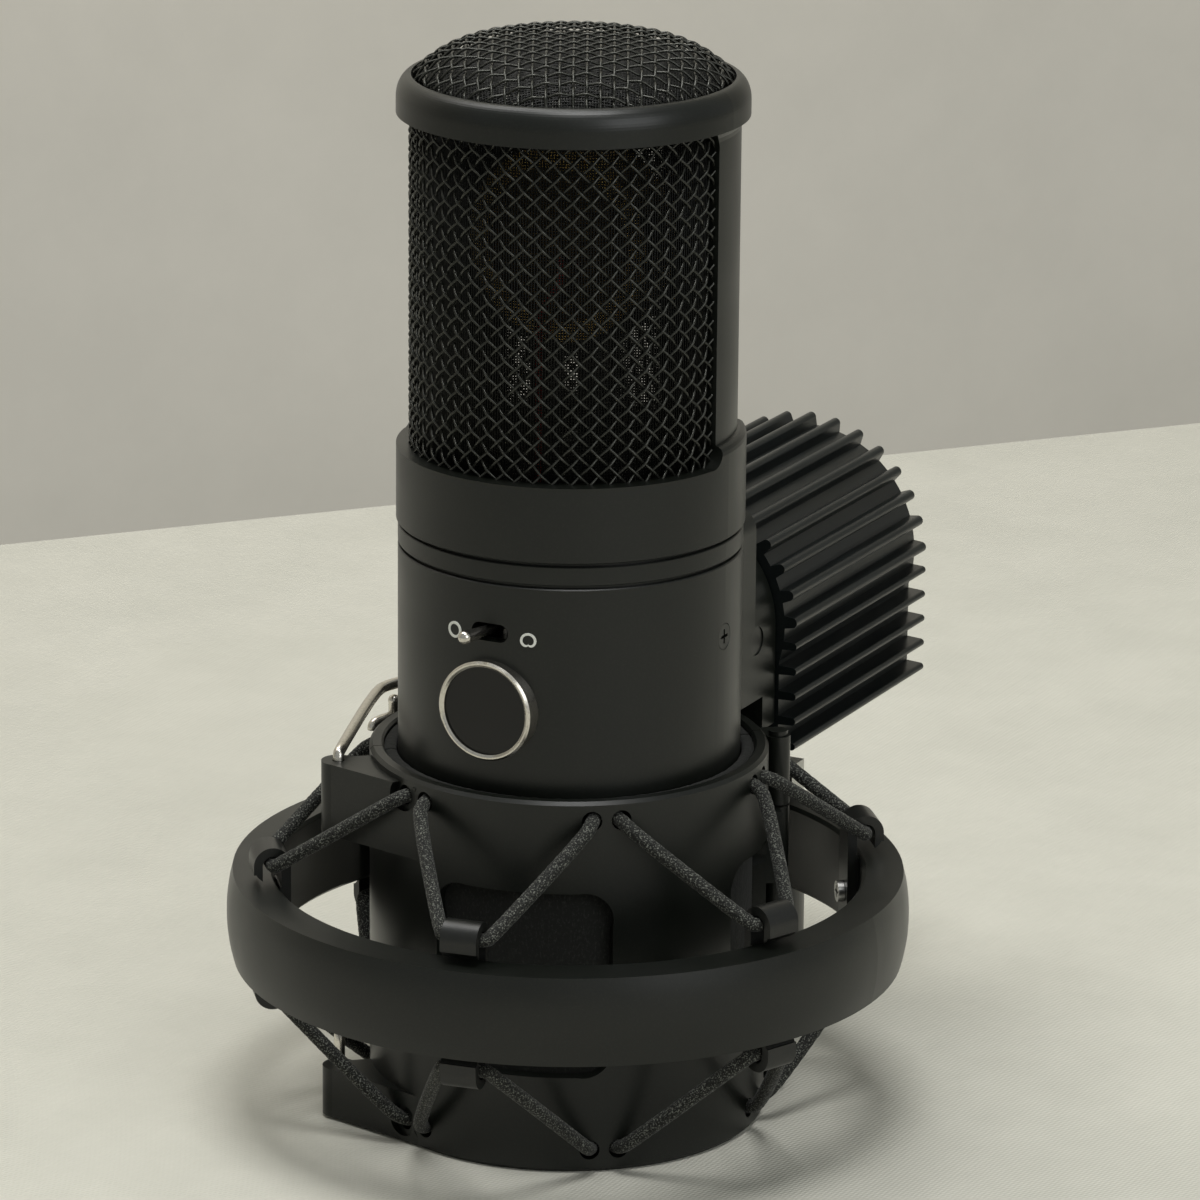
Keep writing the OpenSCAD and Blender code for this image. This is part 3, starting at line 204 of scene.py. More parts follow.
finishes = {
    "satin_black": {
        "colour": (0.003, 0.004, 0.0027), "speck": (0.008, 0.0092, 0.007), "rough": 0.34,
        "Specular IOR Level": 0.42, "roughRange": (0.32, 0.4), "grain": 2600,
        "bump": 0.3, "depth": 0.01},
    "sink_black": {
        "colour": (0.0026, 0.0042, 0.0042), "speck": (0.007, 0.010, 0.0105), "rough": 0.36,
        "Specular IOR Level": 0.45, "roughRange": (0.3, 0.42), "grain": 2200,
        "stretch": (1, 0.03, 1), "bump": 0.4, "depth": 0.01},
    "mesh_black": {
        "colour": (0.03, 0.031, 0.026), "speck": (0.07, 0.07, 0.062), "rough": 0.25, "metal": 0.6,
        "roughRange": (0.2, 0.3), "grain": 3000, "bump": 0.15, "depth": 0.01},
    "gauze_black": {
        "colour": (0.006, 0.0065, 0.005), "speck": (0.012, 0.012, 0.01), "rough": 0.5,
        "Specular IOR Level": 0.3, "roughRange": (0.45, 0.55), "grain": 3000,
        "bump": 0.1, "depth": 0.01},
    "black_plastic": {
        "colour": (0.004, 0.0046, 0.0037), "speck": (0.009, 0.009, 0.008), "rough": 0.36,
        "Specular IOR Level": 0.5, "roughRange": (0.3, 0.42), "grain": 1800,
        "bump": 0.3, "depth": 0.012},
    "gloss_black": {
        "colour": (0.0025, 0.0025, 0.0022), "speck": (0.004, 0.004, 0.004), "rough": 0.16,
        "Specular IOR Level": 0.35, "roughRange": (0.12, 0.2), "grain": 1500,
        "bump": 0.05, "depth": 0.004},
    "nickel": {
        "colour": (0.66, 0.63, 0.57), "speck": (0.5, 0.47, 0.42), "rough": 0.2, "metal": 1,
        "roughRange": (0.14, 0.28), "grain": 1500, "bump": 0.12, "depth": 0.006},
    "steel": {
        "colour": (0.5, 0.5, 0.48), "speck": (0.38, 0.38, 0.37), "rough": 0.34, "metal": 1,
        "roughRange": (0.28, 0.4), "grain": 2400, "stretch": (0.05, 1, 1),
        "bump": 0.2, "depth": 0.006},
    "gold": {
        "colour": (0.8, 0.55, 0.2), "speck": (0.68, 0.45, 0.16), "rough": 0.26, "metal": 1,
        "roughRange": (0.2, 0.32), "grain": 1600, "bump": 0.1, "depth": 0.005},
    # the diaphragms' gold foil, darkened with painted shade for the dim inside of the head
    "paintedShadeFoil": {
        "colour": (0.12, 0.08, 0.03), "speck": (0.09, 0.06, 0.022), "rough": 0.22, "metal": 1,
        "roughRange": (0.16, 0.28), "grain": 1600, "bump": 0.1, "depth": 0.005},
    "brass": {
        "colour": (0.6, 0.44, 0.19), "speck": (0.5, 0.36, 0.15), "rough": 0.32, "metal": 1,
        "roughRange": (0.26, 0.38), "grain": 2000, "stretch": (1, 1, 0.1),
        "bump": 0.2, "depth": 0.006},
    "copper": {
        "colour": (0.7, 0.36, 0.22), "speck": (0.55, 0.27, 0.16), "rough": 0.35, "metal": 1,
        "roughRange": (0.28, 0.42), "grain": 1800, "bump": 0.2, "depth": 0.008},
    "aluminium": {
        "colour": (0.55, 0.55, 0.56), "speck": (0.45, 0.45, 0.46), "rough": 0.38, "metal": 1,
        "roughRange": (0.32, 0.45), "grain": 2200, "stretch": (1, 1, 0.05),
        "bump": 0.2, "depth": 0.008},
    "board": {
        "colour": (0.03, 0.14, 0.06), "speck": (0.05, 0.2, 0.09), "rough": 0.4,
        "roughRange": (0.35, 0.48), "grain": 1400, "bump": 0.2, "depth": 0.01},
    "ceramic": {
        "colour": (0.75, 0.72, 0.64), "speck": (0.66, 0.62, 0.54), "rough": 0.2,
        "roughRange": (0.16, 0.28), "grain": 900, "bump": 0.1, "depth": 0.01},
    "glass": {
        "colour": (0.85, 0.9, 0.9), "speck": (0.75, 0.8, 0.8), "rough": 0.05,
        "roughRange": (0.03, 0.08), "grain": 600, "bump": 0.03, "depth": 0.005,
        "Transmission Weight": 0.92, "IOR": 1.47},
    "white_ink": {
        "colour": (0.72, 0.73, 0.68), "speck": (0.6, 0.6, 0.56), "rough": 0.5,
        "roughRange": (0.45, 0.55), "grain": 2600, "bump": 0.2, "depth": 0.008},
    "red_insulation": {
        "colour": (0.3, 0.018, 0.014), "speck": (0.22, 0.012, 0.01), "rough": 0.42,
        "roughRange": (0.36, 0.48), "grain": 1200, "bump": 0.15, "depth": 0.01},
}
grainShow = {"specks": (0.5, 0.75), "cloud": (0.35, 0.65), "cloudScale": 40}
noStretch = (1, 1, 1)


def finish(name, look):
    # a plain finish with its grain: colour specks, uneven gloss and fine relief
    material, tree, shader = newMaterial(name, look)
    grain = grainNoise(tree, look["grain"], look.get("stretch", noStretch))
    cloud = grainNoise(tree, grainShow["cloudScale"], detail=2.0)
    specks = spread(tree, grain, *grainShow["specks"])
    colour = blendColours(tree, specks, look["colour"], look["speck"])
    rough = spread(tree, cloud, *grainShow["cloud"], *look["roughRange"])
    tree.links.new(colour, shader.inputs["Base Color"])
    tree.links.new(rough, shader.inputs["Roughness"])
    addBump(tree, shader, grain, look["bump"], look["depth"])
    return material


feltFinish = {"colour": (0.012, 0.0125, 0.011), "speck": (0.04, 0.041, 0.037), "rough": 0.95,
              "Specular IOR Level": 0.15, "Sheen Weight": 0.05, "Sheen Roughness": 0.6,
              "fibre": 2600, "fibreStretch": (1, 1, 0.5), "fibreShow": (0.52, 0.78),
              "tufts": 700, "bump": 0.9, "depth": 0.15}


def feltMaterial():
    look = feltFinish
    material, tree, shader = newMaterial("pressedFelt", look)
    fibre = grainNoise(tree, look["fibre"], look["fibreStretch"], detail=5.0, rough=0.75)
    specks = spread(tree, fibre, *look["fibreShow"])
    colour = blendColours(tree, specks, look["colour"], look["speck"])
    tree.links.new(colour, shader.inputs["Base Color"])
    addBump(tree, shader, grainNoise(tree, look["tufts"]), look["bump"], look["depth"])
    return material


sleeveFinish = {"colour": (0.01, 0.01, 0.009), "rough": 0.75, "Specular IOR Level": 0.25,
                "Sheen Weight": 0.08, "Sheen Roughness": 0.5,
                # the gap colour is painted shade, laid where the strands lie low
                "gaps": (0.003, 0.003, 0.003), "strands": (0.014, 0.0145, 0.012),
                # the fibre colour is painted glints: bright specks that stand for light caught by
                # loose fibres
                "strandShow": (0.15, 1), "fibreGlints": (0.15, 0.155, 0.135), "fibre": 3600,
                "fibreShow": (0.55, 0.66), "grain": 4200, "bump": 0.5, "depth": 0.05}


def sleeveMaterial():
    # braided sleeve: the strands' own height paints shade into the gaps, and bright specks paint
    # glints on loose fibres
    look = sleeveFinish
    material, tree, shader = newMaterial("braidedSleeve", look)
    strand = addNode(tree, "ShaderNodeAttribute", attribute_name="strand")
    # painted shade: darker where the strands' height is low, in the gaps between them
    gapShade = spread(tree, strand.outputs["Fac"], *look["strandShow"])
    base = blendColours(tree, gapShade, look["gaps"], look["strands"])
    # painted glints: bright specks of loose fibre
    fibre = spread(tree, grainNoise(tree, look["fibre"], detail=1.0), *look["fibreShow"])
    colour = blendColours(tree, fibre, base, look["fibreGlints"])
    tree.links.new(colour, shader.inputs["Base Color"])
    addBump(tree, shader, grainNoise(tree, look["grain"]), look["bump"], look["depth"])
    return material


def clothMaterial(name, look):
    # studio cloth: a slow change of tone and, where it is woven, two crossed thread waves
    material, tree, shader = newMaterial(name, look)
    mottle = grainNoise(tree, look["mottle"], detail=5.0, rough=0.7)
    tone = spread(tree, mottle, *grainShow["cloud"])
    colour = blendColours(tree, tone, look["colour"], look["shade"])
    tree.links.new(colour, shader.inputs["Base Color"])
    if "threads" in look:
        place = addNode(tree, "ShaderNodeTexCoord")
        weaveSum = addNode(tree, "ShaderNodeMath", operation="ADD")
        for direction, socket in zip("XY", weaveSum.inputs):
            wave = addNode(tree, "ShaderNodeTexWave",
                           {"Scale": look["threads"], "Distortion": 0.6, "Detail": 1.0},
                           bands_direction=direction)
            tree.links.new(place.outputs["Object"], wave.inputs["Vector"])
            tree.links.new(wave.outputs["Fac"], socket)
        addBump(tree, shader, weaveSum.outputs["Value"], look["bump"], look["depth"])
    return material


materials = {slot: finish(slot, look) for slot, look in finishes.items()}
materials["felt"] = feltMaterial()
materials["cord"] = sleeveMaterial()
# the diaphragms take the foil gold darkened with painted shade
ownLooks = {"front_diaphragm": "paintedShadeFoil", "rear_diaphragm": "paintedShadeFoil"}
for part in frame["record"]["subparts"]:
    node = nodes[part["node"]]
    node.data.materials.clear()
    node.data.materials.append(materials[ownLooks.get(part["node"], part["material_slot"])])
print("materials made: %d" % len(materials))


# Camera, at the place and turn that match the photograph

photoCamera = {"place": (495.7, -964.53, 417.57), "turn": 26.925, "tilt": 73.343, "roll": 0.483,
               "lens": 195, "sensor": 36, "pixels": 1200,
               "clip": (0.05, 20)}  # the clip distances are metres


def makeCamera():
    data = bpy.data.cameras.new("studioCamera")
    data.lens = photoCamera["lens"]
    data.sensor_width = data.sensor_height = photoCamera["sensor"]
    data.clip_start, data.clip_end = photoCamera["clip"]
    newCamera = bpy.data.objects.new("studioCamera", data)
    spin = Matrix.Identity(4)
    for key, axis in (("turn", "Z"), ("tilt", "X"), ("roll", "Z")):
        spin = spin @ Matrix.Rotation(math.radians(photoCamera[key]), 4, axis)
    newCamera.matrix_world = Matrix.Translation(Vector(photoCamera["place"]) * mm) @ spin
    scene.collection.objects.link(newCamera)
    scene.camera = newCamera
    return newCamera


camera = makeCamera()
print("camera set")


# Elastic cords: braided sleeves on the same route as their plain CAD tubes

cordLook = {
    # azimuth from a pair of holes, radius, share of the way from the holes' height to the hooks'
    "half": [(0, 32.6, 0), (3.2, 32.8, 0), (4.3, 35.4, 0.01), (6.4, 37.9, 0.1),
             (25, 52.6, 0.97), (26.2, 53.1, 1), (30, 53.1, 1)],
    "firstPair": 38, "pairs": 6, "radius": 1.19, "relief": 0.13, "middle": 0.55,
    "sides": 32, "step": 0.34, "strands": 4, "strandPitch": 4.4,
}
pairTurn = 360 / cordLook["pairs"]


def cordRoute(holeZ, hookZ):
    half = cordLook["half"]
    corners = []
    for k in range(cordLook["pairs"]):
        start = cordLook["firstPair"] + pairTurn * k
        corners += [(start + a, r, s) for a, r, s in half]
        corners += [(start + pairTurn - a, r, s) for a, r, s in half[-2:0:-1]]
    azimuth, radius, share = np.array(corners).T
    route = softened(polar(azimuth, radius, holeZ + (hookZ - holeZ) * share), closed=True)
    ends = np.vstack([route, route[:1]])
    gaps = np.linalg.norm(np.diff(ends, axis=0), axis=1)
    distance = np.concatenate([[0], np.cumsum(gaps)])
    count = int(distance[-1] / cordLook["step"])
    steps = np.arange(count) * distance[-1] / count
    return np.stack([np.interp(steps, distance, ends[:, i]) for i in range(3)], -1), distance[-1]


def elasticCord(name, holeZ, hookZ, node):
    route, length = cordRoute(holeZ, hookZ)
    sides, strands = cordLook["sides"], cordLook["strands"]
    turn = 2 * np.pi * np.arange(sides) / sides
    rounds = round(length / cordLook["strandPitch"]) * 2 * np.pi
    travel = np.arange(len(route))[:, None] / len(route) * rounds
    right, left = strands * turn + travel, strands * turn - travel  # the two sets of strands
    over = (np.floor(right / np.pi) + np.floor(left / np.pi)) % 2 < 1
    height = np.where(over, np.abs(np.sin(right)), np.abs(np.sin(left)))
    radius = cordLook["radius"] + cordLook["relief"] * (height - cordLook["middle"])
    upright = np.tile([0.0, 0.0, 1.0], (len(route), 1))
    points = wireRings(route, upright, radius, sides, closed=True).reshape(-1, 3)
    faces = ringFaces(0, len(route), sides, closed=True)
    piece = makePiece(name, points, faces, materials["cord"], [node])
    # the strands' height, which the sleeve's material turns into painted shade in the gaps
    strand = piece.data.attributes.new("strand", "FLOAT", "POINT")
    strand.data.foreach_set("value", height.astype(np.float32).ravel())
    print("%s: %.0f mm of cord" % (name, length))
    return piece


cordHeights = {"upperHole": 64.1, "upperHook": 48.25, "lowerHole": 4.2, "lowerHook": 24.95}
upperBraid = elasticCord("upperBraid", cordHeights["upperHole"], cordHeights["upperHook"],
                         "upper_cord")
lowerBraid = elasticCord("lowerBraid", cordHeights["lowerHole"], cordHeights["lowerHook"],
                         "lower_cord")
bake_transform(upperBraid)
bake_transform(lowerBraid)
print("cords laid")


# Woven wire: panels in the two windows, the domed cap, and the fine gauze behind them

weave = {"wire": 0.235, "sway": 0.29, "pitch": 2.3, "sides": 8, "samples": 6,
         "frontHalf": 86.3, "rearHalf": 56, "corner": 3, "tuck": 0.25,
         "scan": 0.05, "shortest": 30, "endGap": 0.2}  # the shortest wire is counted in scan steps
cap = {"turn": 27, "bend": 1.1, "inset": 0.1, "crown": 0.15, "shoulder": 0.85, "outermost": 0.99}
gauze = {"wire": 0.175, "sway": 0.12, "pitch": 0.5, "sides": 3, "samples": 0.34, "gap": 0.9,
         "firstLevel": 0.5, "levelIn": 1.6, "levelTurn": 3.75}


def insideWindow(u, v, halfWide, halfTall, corner):
    du, dv = np.abs(u) - (halfWide - corner), np.abs(v) - (halfTall - corner)
    inRound, inBox = np.hypot(du, dv) <= corner, (du <= corner) & (dv <= corner)
    return np.where((du > 0) & (dv > 0), inRound, inBox)


def wireSteps(first, last, step):
    # even steps along a wire, with its two ends
    low = math.ceil(first / step + weave["endGap"])
    high = math.floor(last / step - weave["endGap"]) + 1
    return np.concatenate([[first], np.arange(low, high) * step, [last]])


def waves(t, look, row, side):
    # over and under the crossing wires, the other way round on every second wire
    return look["sway"] * np.cos(np.pi * (t / look["pitch"] + row)) * side


def wovenPanel(name, node, middle, half):
    low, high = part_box(node)
    wire, pitch, tuck = weave["wire"], weave["pitch"], weave["tuck"]
    face = -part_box("front_mesh")[0].y / mm
    centre = face - wire - weave["sway"]  # radius of the panel's middle surface
    halfTall = (high.z - low.z) / mm / 2 + tuck
    middleZ = (high.z + low.z) / mm / 2
    halfWide = math.radians(half) * centre + tuck
    reach = math.hypot(halfWide, halfTall)
    fine = np.arange(-reach, reach, weave["scan"])
    runs = []
    for side in (1, -1):
        along, across = (np.array([lean, 1]) / math.sqrt(2) for lean in (side, -side))
        for i in range(-int(reach / pitch), int(reach / pitch) + 1):
            spots = i * pitch * across + fine[:, None] * along
            within = insideWindow(spots[:, 0], spots[:, 1], halfWide, halfTall, weave["corner"])
            inside = fine[within]
            if len(inside) < weave["shortest"]:
                continue
            t = wireSteps(inside[0], inside[-1], pitch / weave["samples"])
            spots = i * pitch * across + t[:, None] * along
            azimuth = middle + np.degrees(spots[:, 0] / centre)
            path = polar(azimuth, centre + waves(t, weave, i, side), middleZ + spots[:, 1])
            runs.append((path, polar(azimuth, 1, 0), False))
    piece = wirePiece(name, runs, wire, weave["sides"], materials["mesh_black"],
                      [node])
    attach(piece, "mic")


def capRuns(look, drop, bend):
    # wires of the cap, straight in plan, that follow the dome's profile
    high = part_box("dome_mesh")[1]
    edge = high.x / mm
    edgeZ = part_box("head_frame")[1].z / mm
    rise = high.z / mm - edgeZ
    turn = math.radians(cap["turn"])
    spin = np.array([[math.cos(turn), math.sin(turn)], [-math.sin(turn), math.cos(turn)]])
    wire, pitch = look["wire"], look["pitch"]
    inner = edge - wire - cap["inset"]
    runs = []
    for side in (1, -1):
        for i in range(-int(inner / pitch), int(inner / pitch) + 1):
            if abs(i * pitch) > inner * cap["outermost"]:
                continue
            reach = math.sqrt(inner ** 2 - (i * pitch) ** 2)
            t = wireSteps(-reach, reach, pitch / look["samples"])
            aside = np.full(len(t), i * pitch)
            plan = np.stack([t, aside] if side > 0 else [aside, t], -1) @ spin
            share = np.linalg.norm(plan, axis=1) / edge
            height = rise * (1 - cap["crown"] * share ** 2 - cap["shoulder"] * share ** 5)
            slope = rise / edge * (2 * cap["crown"] * share + 5 * cap["shoulder"] * share ** 4)
            lean = plan / np.maximum(share * edge, 1e-6)[:, None] * slope[:, None]
            normal = unit(np.column_stack([lean, np.ones(len(t))]))
            inward = waves(t, look, i, side) - look["sway"] - wire - drop
            path = np.column_stack([plan, edgeZ + height]) + inward[:, None] * normal
            if bend:
                path = np.vstack([path[0] - [0, 0, bend], path, path[-1] - [0, 0, bend]])
                normal = np.vstack([normal[0], normal, normal[-1]])
            runs.append((path, normal, False))
    return runs


def headGauze():
    # fine gauze just inside the windows: straight uprights and level rings
    low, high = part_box("inner_mesh")
    wire, pitch = gauze["wire"], gauze["pitch"]
    radius = high.x / mm - 2 * wire
    base, top = low.z / mm, high.z / mm
    runs = []
    for azimuth in np.arange(0, 360, 360 / round(2 * math.pi * radius / pitch)):
        path = polar([azimuth] * 2, radius, np.array([base, top]))
        runs.append((path, polar([azimuth] * 2, 1, 0), False))
    level = np.arange(0, 360, gauze["levelTurn"])
    for z in np.arange(base + gauze["firstLevel"], top, pitch):
        runs.append((polar(level, radius - gauze["levelIn"] * wire, z), polar(level, 1, 0), True))
    piece = wirePiece("headGauze", runs, wire, gauze["sides"], materials["gauze_black"],
                      ["inner_mesh"])
    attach(piece, "mic")


wovenPanel("frontWeave", "front_mesh", 0, weave["frontHalf"])
wovenPanel("rearWeave", "rear_mesh", 180, weave["rearHalf"])
capWeave = wirePiece("capWeave", capRuns(weave, 0, cap["bend"]), weave["wire"], weave["sides"],
                     materials["mesh_black"], ["dome_mesh"])
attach(capWeave, "mic")
headGauze()
fineWires = capRuns(gauze, 4 * weave["wire"] + gauze["gap"], 0)
capGauze = wirePiece("capGauze", fineWires, gauze["wire"], gauze["sides"],
                     materials["gauze_black"])
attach(capGauze, "mic")
print("wire mesh woven")


# Felt liners between the cradle's two halves and the body

feltLook = {"columns": 1.2, "rows": 0.9, "crown": 0.35, "crownSteps": 7, "fuzz": 0.05, "seed": 5,
            "innerFuzz": 0.6, "crownFuzz": 2.4, "wall": 2.13, "seat": 0.02,
            "foot": 0.83, "footRadius": 25.6, "footStart": 0.6, "footEnd": 1.0,
            "pocketHalf": 4.1, "pocketRise": 1.9, "pocketRadius": 31.05, "soft": 0.5}
split = {"front": -56, "back": 128, "gap": 0.4}


def feltProfile(outer, base, top):
    # radius, height and whether the point is on the outer side, round one cut of the felt
    look = feltLook
    inner, foot, footIn = outer - look["wall"], base + look["foot"], look["footRadius"]
    crownZ = top - look["crown"]
    upZ = np.linspace(base, crownZ, int((top - base) / look["rows"]))
    downZ = np.linspace(crownZ, foot, int((top - foot) / look["rows"] / 2))
    crown = np.linspace(0, np.pi, look["crownSteps"])[1:-1]
    wide = (outer - inner) / 2
    profile = [(outer, z, 1) for z in upZ]
    profile += [(inner + wide + wide * math.cos(c),
                 top - look["crown"] * (1 - math.sin(c)), 0) for c in crown]
    profile += [(inner, z, 0) for z in downZ]
    profile += [(r, foot, 0) for r in np.linspace(inner - look["footStart"], footIn, 5)]
    profile += [(r, base, 0) for r in np.linspace(footIn, inner + look["footEnd"], 6)]
    return np.array(profile)


def feltLiner(name, node, body, start, end):
    look = feltLook
    low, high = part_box("front_liner")
    outer, base, top = high.x / mm - look["seat"], low.z / mm, high.z / mm
    profile = feltProfile(outer, base, top)
    outside = profile[:, 2] > 0
    count = int((end - start) / look["columns"])
    draws = np.random.default_rng(look["seed"])
    points = []
    for azimuth in np.linspace(start, end, count):
        radius, height = profile[:, 0].copy(), profile[:, 1].copy()
        offset = (azimuth - cordLook["firstPair"] + pairTurn / 2) % pairTurn - pairTurn / 2
        away = abs(math.radians(offset) * outer) - look["pocketHalf"]
        aside = np.clip(1 - away / look["soft"], 0, 1)
        for holeZ in (cordHeights["lowerHole"], cordHeights["upperHole"]):
            above = np.abs(height - holeZ) - look["pocketRise"]
            level = np.clip(1 - above / look["soft"], 0, 1)
            pocket = (outer - look["pocketRadius"]) * aside * level
            radius = np.where(outside, radius - pocket, radius)
        fuzz = draws.uniform(-1, 0, len(profile)) * look["fuzz"]
        within = np.where(height > base + look["foot"], -fuzz * look["innerFuzz"], 0)
        radius = radius + np.where(outside, fuzz, within)
        crowned = height > top - look["crown"] - 0.01
        height = height + np.where(crowned, fuzz * look["crownFuzz"], 0)
        points.append(polar(azimuth, radius, height))
    ring = len(profile)
    faces = []
    for k in range(count - 1):
        here, after = k * ring, (k + 1) * ring
        for j in range(ring):
            turned = (j + 1) % ring
            faces.append((here + j, after + j, after + turned, here + turned))
    faces.append(tuple(range(ring)))
    faces.append(tuple(range((count - 1) * ring, count * ring))[::-1])
    piece = makePiece(name, np.concatenate(points), faces, materials["felt"], [node])
    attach(piece, body)


feltLiner("frontFelt", "front_liner", "door",
          split["front"] + split["gap"], split["back"] - split["gap"])
feltLiner("rearFelt", "rear_liner", "cradle",
          split["back"] + split["gap"], split["front"] + 360 - split["gap"])
print("felt liners made")


# Red lead from the capsule down to the deck

leadLook = {
    "radius": 0.6, "sides": 12, "outward": (0.0, -1.0, 0.3), "capsuleZ": 157.8, "plug": 4,
    # corners: place across and in depth, and height from the middle of the capsule
    "corners": [(0, -4.4, -3), (1.2, -6.9, -4.5), (1.5, -7.3, -6), (0, -7.3, -8.5),
                (-2, -7.3, -11), (-2.6, -7.3, -13), (-2.6, -7.3, -24)],
}


def redLead():
    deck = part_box("red_lead")[0].z / mm
    corners = [(x, y, leadLook["capsuleZ"] + z) for x, y, z in leadLook["corners"]]
    x, y, _ = corners[-1]
    path = softened(corners + [(x, y, deck + leadLook["plug"]), (x, y, deck)])
    outward = np.tile(leadLook["outward"], (len(path), 1))
    piece = wirePiece("redLeadWire", [(path, outward, False)], leadLook["radius"],
                      leadLook["sides"], materials["red_insulation"],
                      ["red_lead"])
    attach(piece, "mic")


redLead()
print("lead laid")


# Latch of the cradle: the door's bail and the lever that holds it, both of bright round wire

latchLook = {
    "wire": 1.0, "sides": 24, "tip": 0.25, "tipShare": 0.78, "cradle": 35, "rounds": 2,
    # azimuth and radius of the upright lines that the wires follow
    "lines": {"foot": (-52, 40.9), "eye": (-110, 39.3), "knee": (-92.5, 39.9), "heel": (-99, 40),
              "pivot": (-100, 39.3)},
    "elbow": 0.03,  # share of the way from foot to knee
    # corners of the bail: line, shift along X and Y, height
    "bail": [("foot", 0, 0, 2.5), ("foot", 0, 0, 14.4), ("foot", -0.2, 0.6, 15.6),
             ("foot", -0.5, 1.9, 16), ("knee", 0, 0, 16), ("heel", 0, 0, 16),
             ("eye", 0, -1.6, 16), ("eye", 0, -0.4, 16.5), ("eye", 0, 0, 17.6),
             ("eye", 0, 0, 68.4), ("eye", 0, -0.4, 69.5), ("eye", 0, -1.6, 70),
             ("heel", 0, 0, 70), ("knee", 0, 0, 69.8), ("elbow", 0, 0, 67.4),
             ("foot", 0, 0, 66.9), ("foot", 0, 0, 55)],
    # corners of the lever's bow: azimuth, distance from the cradle, height from the lever's own
    "bow": [(-92.5, 5.3, -1.3), (-92.5, 5.3, -0.6), (-93.6, 5.1, 0), (-100, 4.5, 0),
            (-105, 6.6, 0), (-110, 7.2, 0), (-116, 6.8, 0), (-122, 6.2, 0), (-126, 6.6, 0),
            (-128.5, 8, 0)],
    "leverZ": 64, "legZ": 52.5, "ball": 1.15, "ballZ": 67, "ballSteps": 13,
}


def fromAxis(path):
    return unit(path * [1, 1, 0])


def roundedRun(path):
    # a run of the latch's wire whose two ends are slightly rounded
    wire, tip = latchLook["wire"], latchLook["tip"]
    first = path[0] + tip * unit(path[1] - path[0])
    last = path[-1] - tip * unit(path[-1] - path[-2])
    path = np.vstack([path[0], first, path[1:-1], last, path[-1]])
    radii = np.full(len(path), wire)
    radii[0] = radii[-1] = latchLook["tipShare"] * wire
    return path, fromAxis(path), False, radii


def legRun(pivot):
    # the lever's upright leg, which ends in a ball
    look, wire, ball = latchLook, latchLook["wire"], latchLook["ball"]
    around = np.linspace(-1, 1, look["ballSteps"]) * ball
    around = around[around > -math.sqrt(ball ** 2 - wire ** 2)]
    legZ = np.concatenate([[look["legZ"], look["legZ"] + look["tip"]], look["ballZ"] + around])
    ballRadii = np.sqrt(np.maximum(ball ** 2 - around ** 2, 1e-4))
    path = pivot + np.outer(legZ, [0, 0, 1])
    return path, fromAxis(path), False, np.concatenate([[look["tipShare"] * wire, wire], ballRadii])


def latchWire(name, runs, node):
    return wirePiece(name, runs, latchLook["wire"], latchLook["sides"], materials["nickel"],
                     [node])


def latchWires():
    look = latchLook
    lines = {key: polar(*spot, 0) for key, spot in look["lines"].items()}
    lines["elbow"] = lines["foot"] + look["elbow"] * (lines["knee"] - lines["foot"])
    bail = [lines[line] + np.array([x, y, z]) for line, x, y, z in look["bail"]]
    bow = [polar(a, look["cradle"] + r, look["leverZ"] + z) for a, r, z in look["bow"]]
    bailRun, bowRun = (roundedRun(softened(path, look["rounds"])) for path in (bail, bow))
    bailWire = latchWire("bailWire", [bailRun], "link_bail")
    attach(bailWire, "bail")
    leverWire = latchWire("leverWire", [legRun(lines["pivot"]), bowRun], "latch_lever")
    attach(leverWire, "latch")


latchWires()
print("latch wires bent")


# Studio: pale cloth on a table, a backdrop behind it, soft light from above and the left

studio = {
    "edgeLeft": 545, "edgeRight": 423,  # rows of the photo where the table's edge leaves it
    "wide": 4000, "near": 2600, "wallGap": 350, "wallFoot": 700, "wallTop": 2600,
    "lip": [(0, 0), (6, 2), (9, 30)],  # how far the cloth goes back and down at the edge
    "cloth": {"colour": (0.56, 0.55, 0.485), "shade": (0.52, 0.512, 0.45), "rough": 0.9,
              "mottle": 30, "threads": 380, "bump": 0.35, "depth": 0.12},
    "wall": {"colour": (0.72, 0.68, 0.6), "shade": (0.68, 0.643, 0.567), "rough": 0.95,
             "mottle": 14},
}


def tablePoint(px, py):
    # where the view ray through a pixel of the photograph meets the table
    focal = photoCamera["lens"] / photoCamera["sensor"] * photoCamera["pixels"]
    half = photoCamera["pixels"] / 2
    ray = camera.matrix_world.to_3x3() @ Vector(((px - half) / focal, (half - py) / focal, -1))
    place = camera.matrix_world.translation
    return place - ray * (place.z / ray.z)


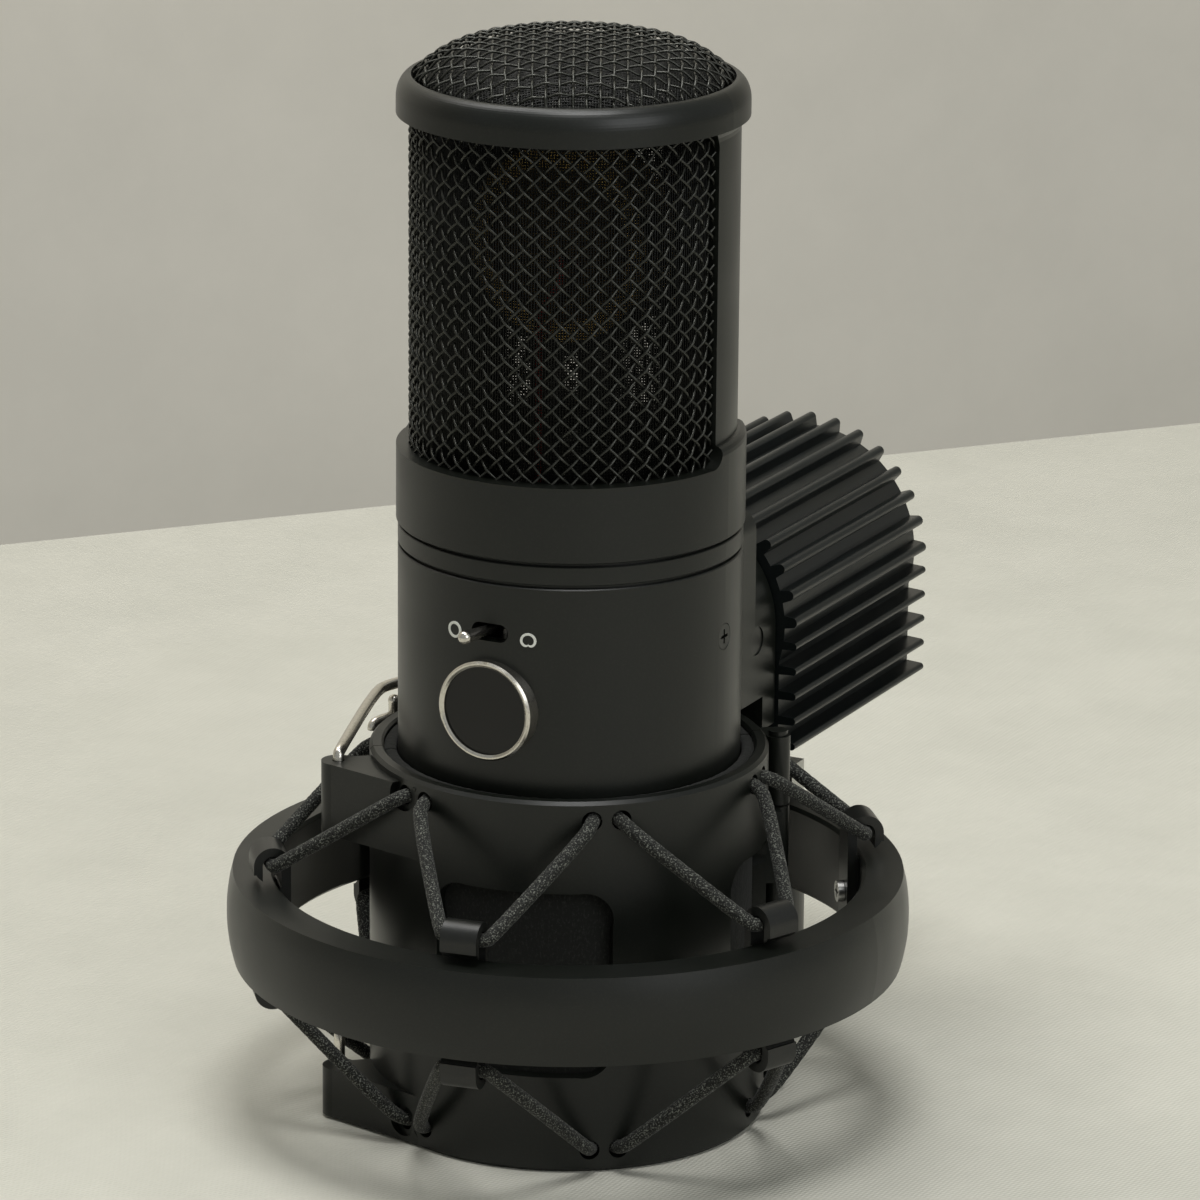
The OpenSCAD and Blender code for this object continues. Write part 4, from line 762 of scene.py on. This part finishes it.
def makeStudio():
    left = tablePoint(0, studio["edgeLeft"])
    right = tablePoint(photoCamera["pixels"], studio["edgeRight"])
    along = (right - left).normalized()
    back = Vector((-along.y, along.x, 0))
    middle = (left + right) / 2 / mm
    side = along * studio["wide"]
    rows = [middle - back * studio["near"]]
    rows += [middle + back * out - Vector((0, 0, down)) for out, down in studio["lip"]]
    points = [tuple(row + s * side) for row in rows for s in (-1, 1)]
    faces = [(2 * k, 2 * k + 1, 2 * k + 3, 2 * k + 2) for k in range(len(rows) - 1)]
    cloth = makePiece("tableCloth", points, faces, clothMaterial("tableCloth", studio["cloth"]))
    low = middle + back * studio["wallGap"] - Vector((0, 0, studio["wallFoot"]))
    high = low + Vector((0, 0, studio["wallTop"]))
    points = [tuple(low - side), tuple(low + side), tuple(high + side), tuple(high - side)]
    wall = makePiece("backdrop", points, [(0, 1, 2, 3)],
                     clothMaterial("backdrop", studio["wall"]))


lampAim = (0, 0, 90)
air = {"colour": (0.97, 1.0, 0.97), "strength": 0.34}
lamps = {
    "softbox": {"place": (-620, 260, 1250), "size": 900, "power": 12, "colour": (1.0, 0.99, 0.97)},
    "topLight": {"place": (120, -120, 1250), "size": 420, "power": 7.5,
                 "colour": (1.0, 1.0, 0.99)},
    "fill": {"place": (1100, -500, 700), "size": 800, "power": 5, "colour": (0.97, 0.99, 1.0)},
}


def makeLamps():
    world = bpy.data.worlds.new("studioAir")
    world.use_nodes = True
    background = world.node_tree.nodes["Background"]
    background.inputs["Color"].default_value = (*air["colour"], 1)
    background.inputs["Strength"].default_value = air["strength"]
    scene.world = world
    for name, lamp in lamps.items():
        data = bpy.data.lights.new(name, "AREA")
        data.shape = "RECTANGLE"
        data.size = data.size_y = lamp["size"] * mm
        data.energy, data.color = lamp["power"], lamp["colour"]
        light = bpy.data.objects.new(name, data)
        place, aim = Vector(lamp["place"]) * mm, Vector(lampAim) * mm
        spin = (aim - place).to_track_quat("-Z", "Y").to_matrix().to_4x4()
        light.matrix_world = Matrix.Translation(place) @ spin
        scene.collection.objects.link(light)


makeStudio()
makeLamps()
scene.view_settings.view_transform = "Standard"
print("studio lit")
